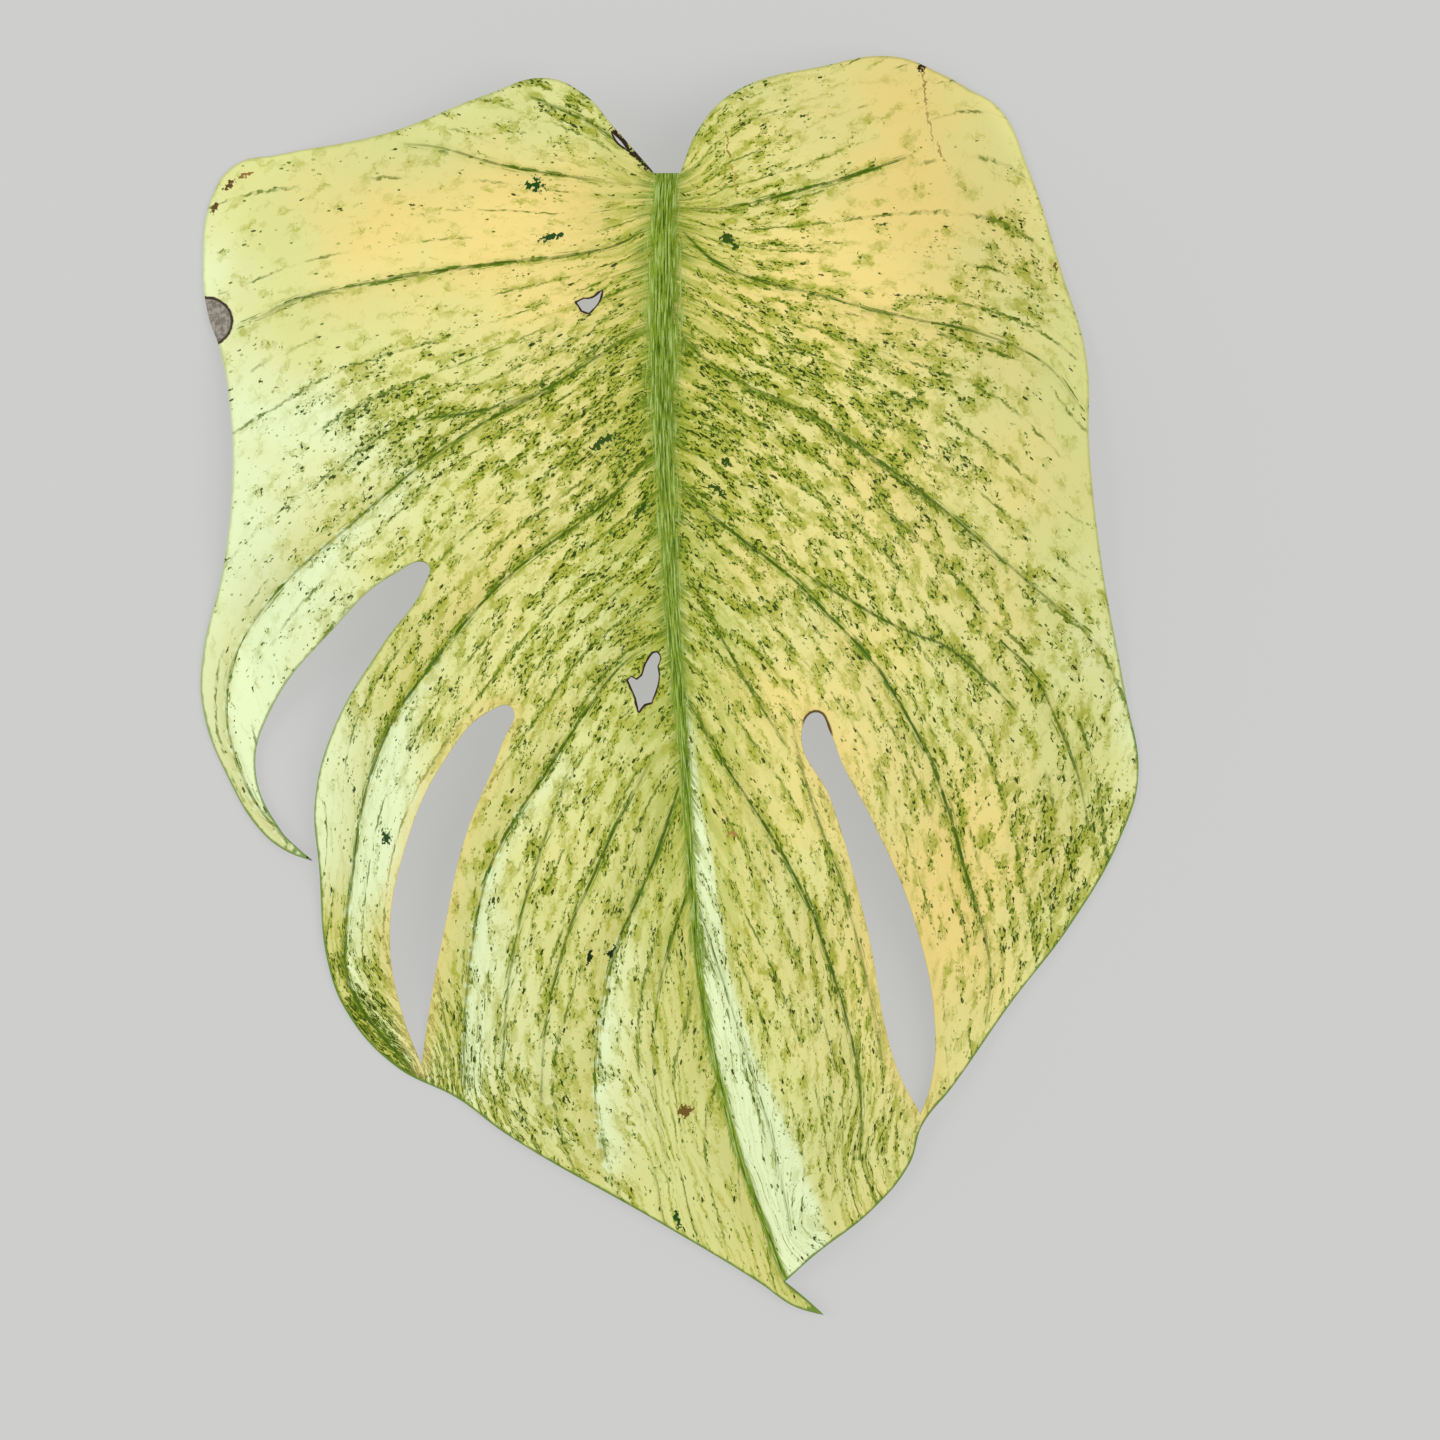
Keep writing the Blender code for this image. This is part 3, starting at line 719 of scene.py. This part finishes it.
def stalk_knots():
    """Centre line and radius from inside the midrib, round the neck, to the cut end."""
    knots = []
    for x, y, radius in NECK_ROOT:
        height = float(blade_height(np.array([[x, y]]))[0])
        knots.append((x, y, height - 0.62 * radius - 0.5, radius))
    neck_z = STALK_RADIUS + NECK_LIFT + NECK_BEND
    for degrees in range(90, -91, -20):
        turn = math.radians(degrees)
        y = NECK_Y + NECK_BEND * math.cos(turn)
        radius = NECK_RADIUS if degrees > -45 else STALK_RADIUS
        knots.append((NECK_X, y, neck_z + NECK_BEND * math.sin(turn), radius))
    knots += [(x, y, STALK_RADIUS + 0.02, STALK_RADIUS) for x, y in STALK]
    return knots


def space_line(knots, step):
    """Evenly spaced points on a smooth curve in space, with its arc length."""
    fine = smooth_line(knots, 0.5)
    travelled = lengths(fine[:, :3])
    stops = np.linspace(0, travelled[-1], round(travelled[-1] / step) + 1)
    return np.column_stack([np.interp(stops, travelled, part) for part in fine.T]), stops


def stalk_mesh():
    """The round neck and stalk, lightly ridged along their length and wrinkled in the bend."""
    sides = 40
    path, travelled = space_line(stalk_knots(), STALK_STEP)
    ahead = unit(np.gradient(path[:, :3], axis=0))
    across = unit(np.cross(ahead, np.cross([1.0, 0, 0], ahead)))
    outer = np.cross(across, ahead)
    angles = np.linspace(0, 2 * math.pi, sides, endpoint=False)
    bend = smooth_step(*BEND_STARTS, travelled) * (1 - smooth_step(*BEND_ENDS, travelled))
    ridges = 0.05 * np.sin(9 * angles)[None] + 0.03 * np.sin(17 * angles + 1)[None]
    inner = np.maximum(0, -np.cos(angles))[None]
    folds = bend[:, None] * 0.1 * np.sin(travelled / 0.55)[:, None] * inner
    radius = path[:, 3:4] + ridges - 0.08 + folds
    turns = angles[None, :, None]
    spokes = np.cos(turns) * outer[:, None] + np.sin(turns) * across[:, None]
    verts = (path[:, None, :3] + radius[..., None] * spokes).reshape(-1, 3)
    verts[:, 2] = np.maximum(verts[:, 2], 0.0)
    faces = []
    for row in range(len(path) - 1):
        for i in range(sides):
            j = (i + 1) % sides
            ring, after = row * sides, (row + 1) * sides
            faces.append((ring + i, ring + j, after + j, after + i))
    faces.append(tuple(range(sides))[::-1])
    last = (len(path) - 1) * sides
    faces.append(tuple(last + i for i in range(sides)))
    turned = (angles + math.pi) % (2 * math.pi) - math.pi
    total = len(verts)
    facts = {
        "rib_across": np.repeat((turned * STALK_RADIUS)[None], len(path), axis=0).ravel(),
        "rib_along": np.repeat(SINUS_Y - travelled, sides),
        "stalk": np.ones(total),
        "cut": np.repeat(smooth_step(-0.5, 0.0, travelled - travelled[-1]), sides),
    }
    return (verts, faces), facts


# ---------------------------------------------------------------- meshes and attributes

# Every fact kept for each point, with its value where a piece doesn't state it.
FACTS = {
    "lane": 0.0,
    "outward": 0.0,
    "run_x": 0.0,
    "run_y": -1.0,
    "vein_gap": FAR,
    "vein_green": 0.0,
    "rib_reach": 0.6,
    "rib_across": 0.0,
    "rib_along": 0.0,
    "speckles": 0.3,
    "tone_and_sheen": 0.3,
    "painted_fold_shade": 0.0,
    "edge": FAR,
    "split_edge": FAR,
    "tear_edge": FAR,
    "under": 0.0,
    "stalk": 0.0,
    "cut": 0.0,
    "grown": 0.0,
}


def new_object(name, verts, faces, facts):
    mesh = bpy.data.meshes.new(name)
    mesh.from_pydata([tuple(v) for v in verts * MM], [], [tuple(map(int, f)) for f in faces])
    facts["grown"] = np.ones(len(verts))
    for key in FACTS:
        attribute = mesh.attributes.new(key, "FLOAT", "POINT")
        values = facts.get(key, np.full(len(verts), FACTS[key]))
        attribute.data.foreach_set("value", np.asarray(values, np.float32))
    obj = bpy.data.objects.new(name, mesh)
    bpy.context.scene.collection.objects.link(obj)
    return obj


def read_all(things, key, width=1, kind=np.int32):
    """A property of every vertex, edge, face or corner, as one flat array."""
    values = np.zeros(len(things) * width, kind)
    things.foreach_get(key, values)
    return values


def read_fact(mesh, key):
    return read_all(mesh.attributes[key].data, "value", kind=np.float32)


def fill_seam(mesh):
    """Give the vertices that the join made the mean facts of their neighbours."""
    missing = read_fact(mesh, "grown") < 0.5
    ends = read_all(mesh.edges, "vertices", 2).reshape(-1, 2)
    both = np.vstack([ends, ends[:, ::-1]])
    both = both[missing[both[:, 0]] & ~missing[both[:, 1]]]
    count = np.maximum(np.bincount(both[:, 0], minlength=len(missing)), 1)
    for key in FACTS:
        values = read_fact(mesh, key)
        mean = np.bincount(both[:, 0], values[both[:, 1]], len(missing)) / count
        values = np.where(missing, mean, values).astype(np.float32)
        mesh.attributes[key].data.foreach_set("value", values)


def leaf_object():
    """Blade, neck and stalk joined into one closed mesh."""
    (verts, faces, edge), facts = blade_mesh()
    facts["under"] = np.zeros(len(facts["lane"]))
    lower = facts | {"under": np.ones(len(facts["lane"]))}
    every = {key: np.concatenate([facts[key], lower[key], facts[key][edge]]) for key in facts}
    every["under"][-len(edge) :] = 0.5
    leaf = new_object("leaf_tissue", verts, faces, every)
    (verts, faces), facts = stalk_mesh()
    stalk = new_object("stalk", verts, faces, facts)
    join = leaf.modifiers.new("join stalk", "BOOLEAN")
    join.operation = "UNION"
    join.object = stalk
    join.solver = "MANIFOLD"
    bpy.context.view_layer.update()
    graph = bpy.context.evaluated_depsgraph_get()
    joined = bpy.data.meshes.new_from_object(leaf.evaluated_get(graph))
    leaf.modifiers.remove(join)
    leaf.data = joined
    joined.name = "leaf_tissue"
    joined.materials.clear()
    bpy.data.objects.remove(stalk)
    fill_seam(joined)
    joined.shade_smooth()
    joined.set_sharp_from_angle(angle=math.radians(42))
    bake_map(joined)
    return leaf


def bake_map(mesh):
    """Lay the upper face out large, with the lower face and the stalk small beside it."""
    layer = mesh.uv_layers.new(name="OFBake")
    under, stalk = read_fact(mesh, "under"), read_fact(mesh, "stalk")
    across, lengthwise = read_fact(mesh, "rib_across"), read_fact(mesh, "rib_along")
    places = read_all(mesh.vertices, "co", 3, np.float32).reshape(-1, 3) / MM
    low, tall = places[:, :2].min(0), np.ptp(places[:, 1])
    flat = (places[:, :2] - low) / tall * 0.985 + 0.005
    corners = read_all(mesh.loops, "vertex_index")
    starts = read_all(mesh.polygons, "loop_start")
    sizes = np.diff(np.append(starts, len(corners)))

    def per_face(combine, values):
        return np.repeat(combine.reduceat(values[corners], starts), sizes)

    on_stalk = per_face(np.add, stalk) > 0.5 * np.repeat(sizes, sizes)
    on_under = per_face(np.add, under) > 0.5 * np.repeat(sizes, sizes)
    turn = across[corners]
    wraps = per_face(np.maximum, across) - per_face(np.minimum, across) > STALK_RADIUS * math.pi
    turn = np.where(wraps & (turn < 0), turn + 2 * math.pi * STALK_RADIUS, turn)
    travelled = SINUS_Y - lengthwise[corners]
    tube = np.column_stack([0.79 + (turn + 12) / tall, 0.97 - travelled / tall])
    coords = np.where(on_under[:, None], flat[corners] * 0.3 + (0.755, 0.01), flat[corners])
    coords = np.where(on_stalk[:, None], tube, coords)
    layer.data.foreach_set("uv", coords.astype(np.float32).ravel())


# ---------------------------------------------------------------- materials


def srgb(code):
    """The linear colour of a hex code."""
    parts = [int(code[i : i + 2], 16) / 255 for i in (1, 3, 5)]
    return (*[p / 12.92 if p <= 0.04045 else ((p + 0.055) / 1.055) ** 2.4 for p in parts], 1.0)


class Graph:
    """Shader nodes of one material, added and linked in one go."""

    def __init__(self, name):
        self.material = bpy.data.materials.new(name)
        self.material.use_nodes = True
        self.tree = self.material.node_tree
        self.surface = self.tree.nodes["Principled BSDF"]

    def add(self, kind, inputs=(), **settings):
        node = self.tree.nodes.new(kind)
        for key, value in settings.items():
            setattr(node, key, value)
        for socket, value in dict(inputs).items():
            self.feed(node.inputs[socket], value)
        return node

    def feed(self, socket, value):
        if isinstance(value, bpy.types.NodeSocket):
            self.tree.links.new(value, socket)
        else:
            socket.default_value = value

    def fact(self, name):
        return self.add("ShaderNodeAttribute", attribute_name=name).outputs["Fac"]

    def math(self, operation, a, b=0.0, clamp=False):
        node = self.add("ShaderNodeMath", {0: a, 1: b}, operation=operation)
        node.use_clamp = clamp
        return node.outputs[0]

    def plus(self, a, b, clamp=False):
        return self.math("ADD", a, b, clamp)

    def minus(self, a, b):
        return self.math("SUBTRACT", a, b)

    def times(self, a, b):
        return self.math("MULTIPLY", a, b)

    def over(self, a, b):
        return self.math("DIVIDE", a, b)

    def ramp(self, value, low, high, start=0.0, end=1.0):
        """Smoothly from start at low to end at high."""
        inputs = {"Value": value, "From Min": low, "From Max": high, "To Min": start, "To Max": end}
        if low > high:
            inputs |= {"From Min": high, "From Max": low, "To Min": end, "To Max": start}
        node = self.add("ShaderNodeMapRange", inputs, interpolation_type="SMOOTHSTEP")
        return node.outputs["Result"]

    def vector(self, x, y, z=0.0):
        return self.add("ShaderNodeCombineXYZ", {0: x, 1: y, 2: z}).outputs[0]

    def noise(self, vector, scale=1.0, detail=2.0, roughness=0.5):
        inputs = {"Vector": vector, "Scale": scale, "Detail": detail, "Roughness": roughness}
        return self.add("ShaderNodeTexNoise", inputs).outputs["Fac"]

    def vectors(self, operation, a, b):
        return self.add("ShaderNodeVectorMath", {0: a, 1: b}, operation=operation).outputs[0]

    def dot(self, a, b):
        return self.add("ShaderNodeVectorMath", {0: a, 1: b}, operation="DOT_PRODUCT").outputs[1]

    def scaled(self, vector, factor):
        node = self.add("ShaderNodeVectorMath", {0: vector, 3: factor}, operation="SCALE")
        return node.outputs[0]

    def tint(self, color, factor, code):
        """The colour, turned towards a hex code's by the factor."""
        return self.mix(factor, color, srgb(code))

    def mix(self, factor, a, b):
        node = self.add("ShaderNodeMix", data_type="RGBA", blend_type="MIX")
        for socket, value in ((0, factor), (6, a), (7, b)):
            self.feed(node.inputs[socket], value)
        return node.outputs[2]


def grain_places(g, long, wide, jitter, seed):
    """Coordinates that follow the grain: one unit is long millimetres along it and wide across."""
    place = g.add("ShaderNodeNewGeometry").outputs["Position"]
    shake = g.add("ShaderNodeTexNoise", {"Vector": place, "Scale": 700.0, "Detail": 2.0})
    parts = g.add("ShaderNodeSeparateColor", {0: shake.outputs["Color"]})
    shift_a = g.times(g.minus(parts.outputs[0], 0.5), jitter)
    shift_b = g.times(g.minus(parts.outputs[1], 0.5), jitter)
    lengthwise = g.plus(g.over(g.fact("outward"), long), shift_a)
    crosswise = g.plus(g.over(g.fact("lane"), wide), shift_b)
    return g.vector(lengthwise, crosswise, seed)


def grain_noise(g, long, wide, jitter, seed, detail=2.0, roughness=0.5):
    """Noise stretched along the grain."""
    return g.noise(grain_places(g, long, wide, jitter, seed), 1.0, detail, roughness)


def dashes(g, place, cell, long, wide, share, seed):
    """Short ragged strokes along the grain, at most one in each cell; share says how many."""
    spot = g.vectors("ADD", g.scaled(place, 1000 / cell), (seed, 1.7 * seed, 0.0))
    cells = g.add("ShaderNodeTexVoronoi", {"Vector": spot, "Scale": 1.0}, voronoi_dimensions="2D")
    away = g.vectors("SUBTRACT", spot, cells.outputs["Position"])
    ahead, aside = g.fact("run_x"), g.fact("run_y")
    lengthwise = g.dot(away, g.vector(ahead, aside))
    crosswise = g.dot(away, g.vector(g.times(aside, -1.0), ahead))
    squares = [g.math("POWER", g.over(part, size), 2.0)
               for part, size in ((lengthwise, long), (crosswise, wide))]
    reach = g.math("SQRT", g.plus(*squares))
    reach = g.plus(reach, g.times(g.noise(place, 2600.0, 1.0), 0.9))
    picks = g.add("ShaderNodeSeparateColor", {0: cells.outputs["Color"]})
    size = g.plus(g.times(picks.outputs[0], 0.7), 0.75)
    wanted = g.math("LESS_THAN", picks.outputs[1], share)
    return g.times(g.ramp(g.minus(reach, size), 0.1, -0.1), wanted)


def spot_reach(g, place, x, y, long, wide, turn):
    """Distance from a spot's centre, 1 at its edge."""
    settings = {
        "Vector": place,
        "Location": (x * MM, y * MM, 0.0),
        "Rotation": (0.0, 0.0, math.radians(turn)),
        "Scale": (long * MM / 2, wide * MM / 2, 1.0),
    }
    spot = g.add("ShaderNodeMapping", settings, vector_type="TEXTURE").outputs[0]
    return g.add("ShaderNodeVectorMath", {0: spot}, operation="LENGTH").outputs["Value"]


def leaf_material():
    g = Graph("leaf_tissue")
    place = g.add("ShaderNodeNewGeometry").outputs["Position"]
    color = tissue_color(g, place)
    color = vein_color(g, color)
    color = rib_color(g, color)
    color = edge_color(g, color, place)
    color = mark_color(g, color, place)
    color = g.tint(color, g.times(g.fact("cut"), 0.9), "#D6D8A2")
    g.feed(g.surface.inputs["Base Color"], color)
    g.surface.inputs["Roughness"].default_value = 0.42
    g.surface.inputs["IOR"].default_value = 1.42
    g.surface.inputs["Specular IOR Level"].default_value = 0.12
    leaf_bump(g, place)
    return g.material


def tissue_color(g, place):
    """Cream tissue with painted sheen and shade on its folds, olive washes, fine side veins, ragged
    green patches and dark speckles.
    """
    speckles = g.fact("speckles")
    drift = g.times(g.minus(g.noise(place, 45.0, 2.0), 0.5), 0.6)
    warm = g.plus(g.fact("tone_and_sheen"), drift, clamp=True)
    # Mint at low tone and warm cream at high; the mint is partly a painted sheen where the blade faces
    # the window.
    color = g.mix(g.ramp(warm, 0.0, 0.5), srgb("#DEEABA"), srgb("#D5D58C"))
    color = g.tint(color, g.ramp(warm, 0.5, 1.0), "#E7D182")
    # Painted shade: the side of each fold turned away from the window is dulled towards tan.
    color = g.tint(color, g.times(g.fact("painted_fold_shade"), 0.55), "#B6AC56")
    near_rib = g.ramp(g.math("ABSOLUTE", g.fact("rib_across")), 26.0, 2.0)
    near_rib = g.times(near_rib, g.ramp(warm, 0.0, 0.35, 0.1, 1.0))
    near_rib = g.times(near_rib, g.ramp(g.fact("rib_along"), -85.0, -30.0, 0.2, 1.0))
    streaks = g.ramp(grain_noise(g, 14.0, 2.2, 0.5, 23.0, 3.0), 0.38, 0.62, 0.25, 0.8)
    color = g.tint(color, g.times(near_rib, streaks), "#A4AE4C")

    # Fine side veins between the laterals, which speckles gather along.
    bands = {"Scale": 0.05, "Distortion": 0.8, "Detail": 1.0}
    bands["Vector"] = grain_places(g, 30.0, 1.0, 0.9, 5.0)
    lines = g.add("ShaderNodeTexWave", bands, bands_direction="Y").outputs["Fac"]
    broken = grain_noise(g, 13.0, 4.0, 0.2, 7.0)
    broken = g.ramp(g.plus(broken, g.times(speckles, 0.12)), 0.50, 0.62)
    near_line = g.times(g.ramp(lines, 0.86, 1.0), broken)
    dotted = g.ramp(grain_noise(g, 2.6, 1.2, 0.8, 8.0), 0.42, 0.55, 0.2, 1.0)
    lines = g.times(g.ramp(lines, 0.975, 0.998), g.times(broken, dotted))

    # How much of the tissue turned green here: clusters stretched along the grain.
    cluster = grain_noise(g, 6.0, 2.8, 0.9, 3.0, 3.0, 0.6)
    cluster = g.plus(cluster, g.times(g.minus(speckles, 0.5), 0.22))
    cluster = g.plus(cluster, g.times(near_line, 0.08))
    cluster = g.ramp(cluster, 0.49, 0.60)
    want = g.times(cluster, g.plus(g.times(speckles, 0.75), 0.35))
    by_vein = g.times(g.ramp(g.fact("vein_gap"), 3.2, 0.4), g.fact("vein_green"))
    want = g.plus(want, g.times(by_vein, 0.2))
    wash = grain_noise(g, 5.0, 2.6, 0.8, 1.0, 4.0, 0.65)
    wash = g.plus(wash, g.times(g.plus(want, speckles), 0.13))
    wash = g.times(g.ramp(wash, 0.53, 0.78), g.ramp(warm, 0.0, 0.45, 0.4, 0.95))
    color = g.tint(color, wash, "#A3A63A")
    for long, wide, gain, low, high, tone, strength, seed in (
        (1.5, 0.90, 0.20, 0.68, 0.75, "#7F9026", 0.5, 2.0),
        (1.05, 0.58, 0.22, 0.72, 0.745, "#4E7206", 0.85, 6.0),
        (1.05, 0.58, 0.22, 0.755, 0.78, "#263400", 0.95, 6.0),
    ):
        patch = grain_noise(g, long, wide, 1.2, seed, 3.0, 0.62)
        patch = g.plus(patch, g.times(want, gain))
        color = g.tint(color, g.times(g.ramp(patch, low, high), strength), tone)

    # Single strokes: olive ones deep in the leaf, then green and nearly black ones at its face.
    for cell, long, wide, base, tone, strength, seed in (
        (1.2, 0.38, 0.24, 0.20, "#76841E", 0.6, 3.1),
        (1.4, 0.40, 0.19, 0.07, "#466606", 0.9, 9.7),
        (2.2, 0.40, 0.14, 0.02, "#263400", 0.95, 17.3),
    ):
        share = g.plus(g.times(want, 0.42), g.times(speckles, base))
        mask = dashes(g, place, cell, long, wide, share, seed)
        color = g.tint(color, g.times(mask, strength), tone)
    color = g.tint(color, g.times(lines, 0.85), "#566E0C")
    return g.tint(color, g.times(g.fact("under"), 0.45), "#C3C98E")


def vein_color(g, color):
    """Lateral veins: a thin dark line with green strands along it that come and go."""
    gap, green = g.fact("vein_gap"), g.fact("vein_green")
    patchy = g.ramp(grain_noise(g, 4.5, 2.0, 0.7, 9.0, 3.0), 0.36, 0.56, 0.2, 1.0)
    strands = grain_noise(g, 8.0, 0.40, 0.6, 12.0, 2.0, 0.6)
    glow = g.times(g.times(g.ramp(gap, 2.2, 0.0), green), patchy)
    color = g.tint(color, g.times(glow, 0.4), "#8A982A")
    frayed = g.ramp(g.plus(strands, g.times(glow, 0.2)), 0.64, 0.70)
    color = g.tint(color, g.times(frayed, g.ramp(gap, 1.6, 0.3)), "#52720C")
    shaken = g.plus(gap, g.times(g.minus(strands, 0.5), 0.8))
    steady = g.plus(g.times(patchy, 0.5), 0.45)
    core = g.times(g.ramp(shaken, 0.38, 0.12), g.ramp(green, 0.0, 0.9, 0.0, 0.95))
    core = g.times(core, steady)
    return g.tint(color, core, "#385204")


def rib_color(g, color):
    """Green strands of the midrib, neck and stalk, which flare into the blade's grain."""
    across, lengthwise = g.fact("rib_across"), g.fact("rib_along")
    flare = g.ramp(g.fact("rib_reach"), 3.2, 0.9)
    fan = grain_noise(g, 9.0, 0.42, 0.4, 14.0, 2.0, 0.6)
    fan = g.ramp(g.plus(fan, g.times(flare, 0.22)), 0.60, 0.70)
    patchy = g.ramp(grain_noise(g, 14.0, 2.6, 0.4, 19.0), 0.40, 0.60, 0.25, 1.0)
    fan = g.times(g.times(fan, flare), g.times(patchy, 0.85))
    color = g.tint(color, fan, "#667E14")
    strands = g.vector(g.over(across, 0.36), g.over(lengthwise, 6.5))
    strands = g.noise(strands, 1.0, 3.0, 0.65)
    broad = g.vector(g.over(across, 1.6), g.over(lengthwise, 26.0), 8.0)
    broad = g.noise(broad, 1.0, 2.0)
    band = g.mix(g.ramp(broad, 0.38, 0.62), srgb("#647E12"), srgb("#7A9222"))
    band = g.tint(band, g.times(g.ramp(strands, 0.48, 0.40), 0.8), "#A6BC70")
    band = g.tint(band, g.times(g.ramp(strands, 0.53, 0.59), 0.9), "#304E06")
    pale = g.times(g.fact("stalk"), 0.55)
    band = g.tint(band, pale, "#C4CC88")
    ragged = g.plus(g.fact("rib_reach"), g.times(g.minus(strands, 0.5), 2.4))
    return g.mix(g.ramp(ragged, 1.12, 0.66), color, band)


def edge_color(g, color, place):
    """Amber split margins, the thin green margin line, and dry brown rims of tears."""
    shake = g.minus(g.noise(place, 420.0, 3.0), 0.5)
    split = g.plus(g.fact("split_edge"), g.times(shake, 4.0))
    color = g.tint(color, g.ramp(split, 3.4, 0.2, 0.0, 0.45), "#DCC67A")
    height = g.add("ShaderNodeSeparateXYZ", {0: place}).outputs[1]
    line = g.plus(g.fact("edge"), g.times(shake, 0.8))
    line = g.times(g.ramp(line, 0.6, 0.1), g.ramp(height, 0.06, -0.05, 0.25, 0.9))
    color = g.tint(color, line, "#5E7E2C")
    rim = g.plus(g.fact("tear_edge"), shake)
    color = g.tint(color, g.ramp(rim, 0.45, 0.15), "#2E2010")
    head = g.ramp(spot_reach(g, place, *SPLIT_HEAD), 1.1, 0.8)
    rim = g.plus(g.fact("split_edge"), g.times(shake, 0.5))
    return g.tint(color, g.times(head, g.ramp(rim, 0.6, 0.2)), "#5A4420")


def mark_color(g, color, place):
    """Flecks, cracks and spots, and the dry patch that has eaten into the left margin."""
    shake = g.add("ShaderNodeTexNoise", {"Vector": place, "Scale": 900.0, "Detail": 2.0})
    shake = shake.outputs["Color"]
    shake = g.scaled(g.vectors("SUBTRACT", shake, (0.5, 0.5, 0.5)), 0.0022)
    upper = g.ramp(g.fact("under"), 0.6, 0.4)
    jagged = g.vectors("ADD", place, shake)
    holes = g.times(g.minus(g.noise(place, 1500.0, 2.0, 0.6), 0.5), 3.0)
    for *spot, tone in MARKS:
        reach = g.plus(spot_reach(g, jagged, *spot), holes)
        color = g.tint(color, g.times(g.ramp(reach, 1.2, 0.95), upper), tone)
    grit = g.noise(place, 900.0, 4.0, 0.7)
    dry = g.plus(spot_reach(g, place, *DRY_PATCH), g.times(grit, 0.12))
    husk = g.mix(g.ramp(grit, 0.4, 0.6), srgb("#6E675C"), srgb("#989084"))
    color = g.mix(g.ramp(dry, 1.06, 1.0), color, husk)
    rim = g.times(g.ramp(dry, 0.93, 1.0), g.ramp(dry, 1.1, 1.04))
    return g.tint(color, rim, "#33230F")


def leaf_bump(g, place):
    """Fine grain of the cuticle, the strands in the midrib and a slight quilting along the grain."""
    pores = g.noise(place, 2600.0, 2.0, 0.6)
    across, lengthwise = g.fact("rib_across"), g.fact("rib_along")
    strands = g.vector(g.over(across, 0.34), g.over(lengthwise, 5.5))
    strands = g.noise(strands, 1.0, 2.0)
    on_rib = g.ramp(g.fact("rib_reach"), 1.2, 0.9)
    quilt = grain_noise(g, 9.0, 1.6, 0.2, 31.0)
    height = g.plus(g.times(pores, 0.12), g.times(strands, on_rib))
    height = g.plus(height, g.times(quilt, 0.6))
    bump = g.add("ShaderNodeBump", {"Height": height, "Strength": 0.45, "Distance": 0.0003})
    g.feed(g.surface.inputs["Normal"], bump.outputs[0])


def floor_material():
    g = Graph("studio_floor")
    g.surface.inputs["Base Color"].default_value = srgb("#686867")
    g.surface.inputs["Roughness"].default_value = 0.9
    g.surface.inputs["Emission Color"].default_value = srgb("#FFFFFF")
    g.surface.inputs["Emission Strength"].default_value = 0.44
    return g.material


# ---------------------------------------------------------------- studio


def add_floor():
    bpy.ops.mesh.primitive_plane_add(size=8.0, location=(0, 0, CAD_LOW.z - 0.0002))
    floor = bpy.context.object
    floor.name = "studio_floor"
    floor.data.materials.append(floor_material())


def add_light(name, place, aim, size, power, color):
    light = bpy.data.lights.new(name, "AREA")
    light.shape = "RECTANGLE"
    light.size, light.size_y = size
    light.energy = power
    light.color = color
    obj = bpy.data.objects.new(name, light)
    obj.location = place
    obj.rotation_euler = (Vector(aim) - Vector(place)).to_track_quat("-Z", "Y").to_euler()
    bpy.context.scene.collection.objects.link(obj)


def add_lights():
    add_light("window", (-2.3, 0.3, 1.5), (0, 0, 0.01), (1.6, 2.0), 43.2, (0.97, 0.985, 1.0))
    add_light("ceiling", (1.4, -0.1, 2.3), (0, 0, 0), (2.2, 2.2), 46.8, (1.0, 0.985, 0.95))
    world = bpy.data.worlds.new("studio")
    bpy.context.scene.world = world
    world.use_nodes = True
    sky = world.node_tree.nodes["Background"]
    sky.inputs["Color"].default_value = (0.86, 0.87, 0.86, 1.0)
    sky.inputs["Strength"].default_value = 0.5


def add_camera():
    """Straight above the leaf with its sinus at the top, through a long lens."""
    frame_width, lens, sensor = 0.3168, 200.0, 36.0
    # The picture is frame_width wide at the height plane_z, in metres.
    centre_x, centre_y, plane_z = 0.0114, -0.0074, 0.006
    camera = bpy.data.cameras.new("camera")
    camera.lens = lens
    camera.sensor_width = sensor
    obj = bpy.data.objects.new("camera", camera)
    obj.location = (centre_x, centre_y, plane_z + frame_width * lens / sensor)
    bpy.context.scene.collection.objects.link(obj)
    bpy.context.scene.camera = obj


def main():
    leaf = leaf_object()
    leaf.data.materials.append(leaf_material())
    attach(leaf, "root")
    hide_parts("leaf")
    add_floor()
    add_lights()
    add_camera()
    bpy.context.scene.view_settings.view_transform = "Standard"


main()
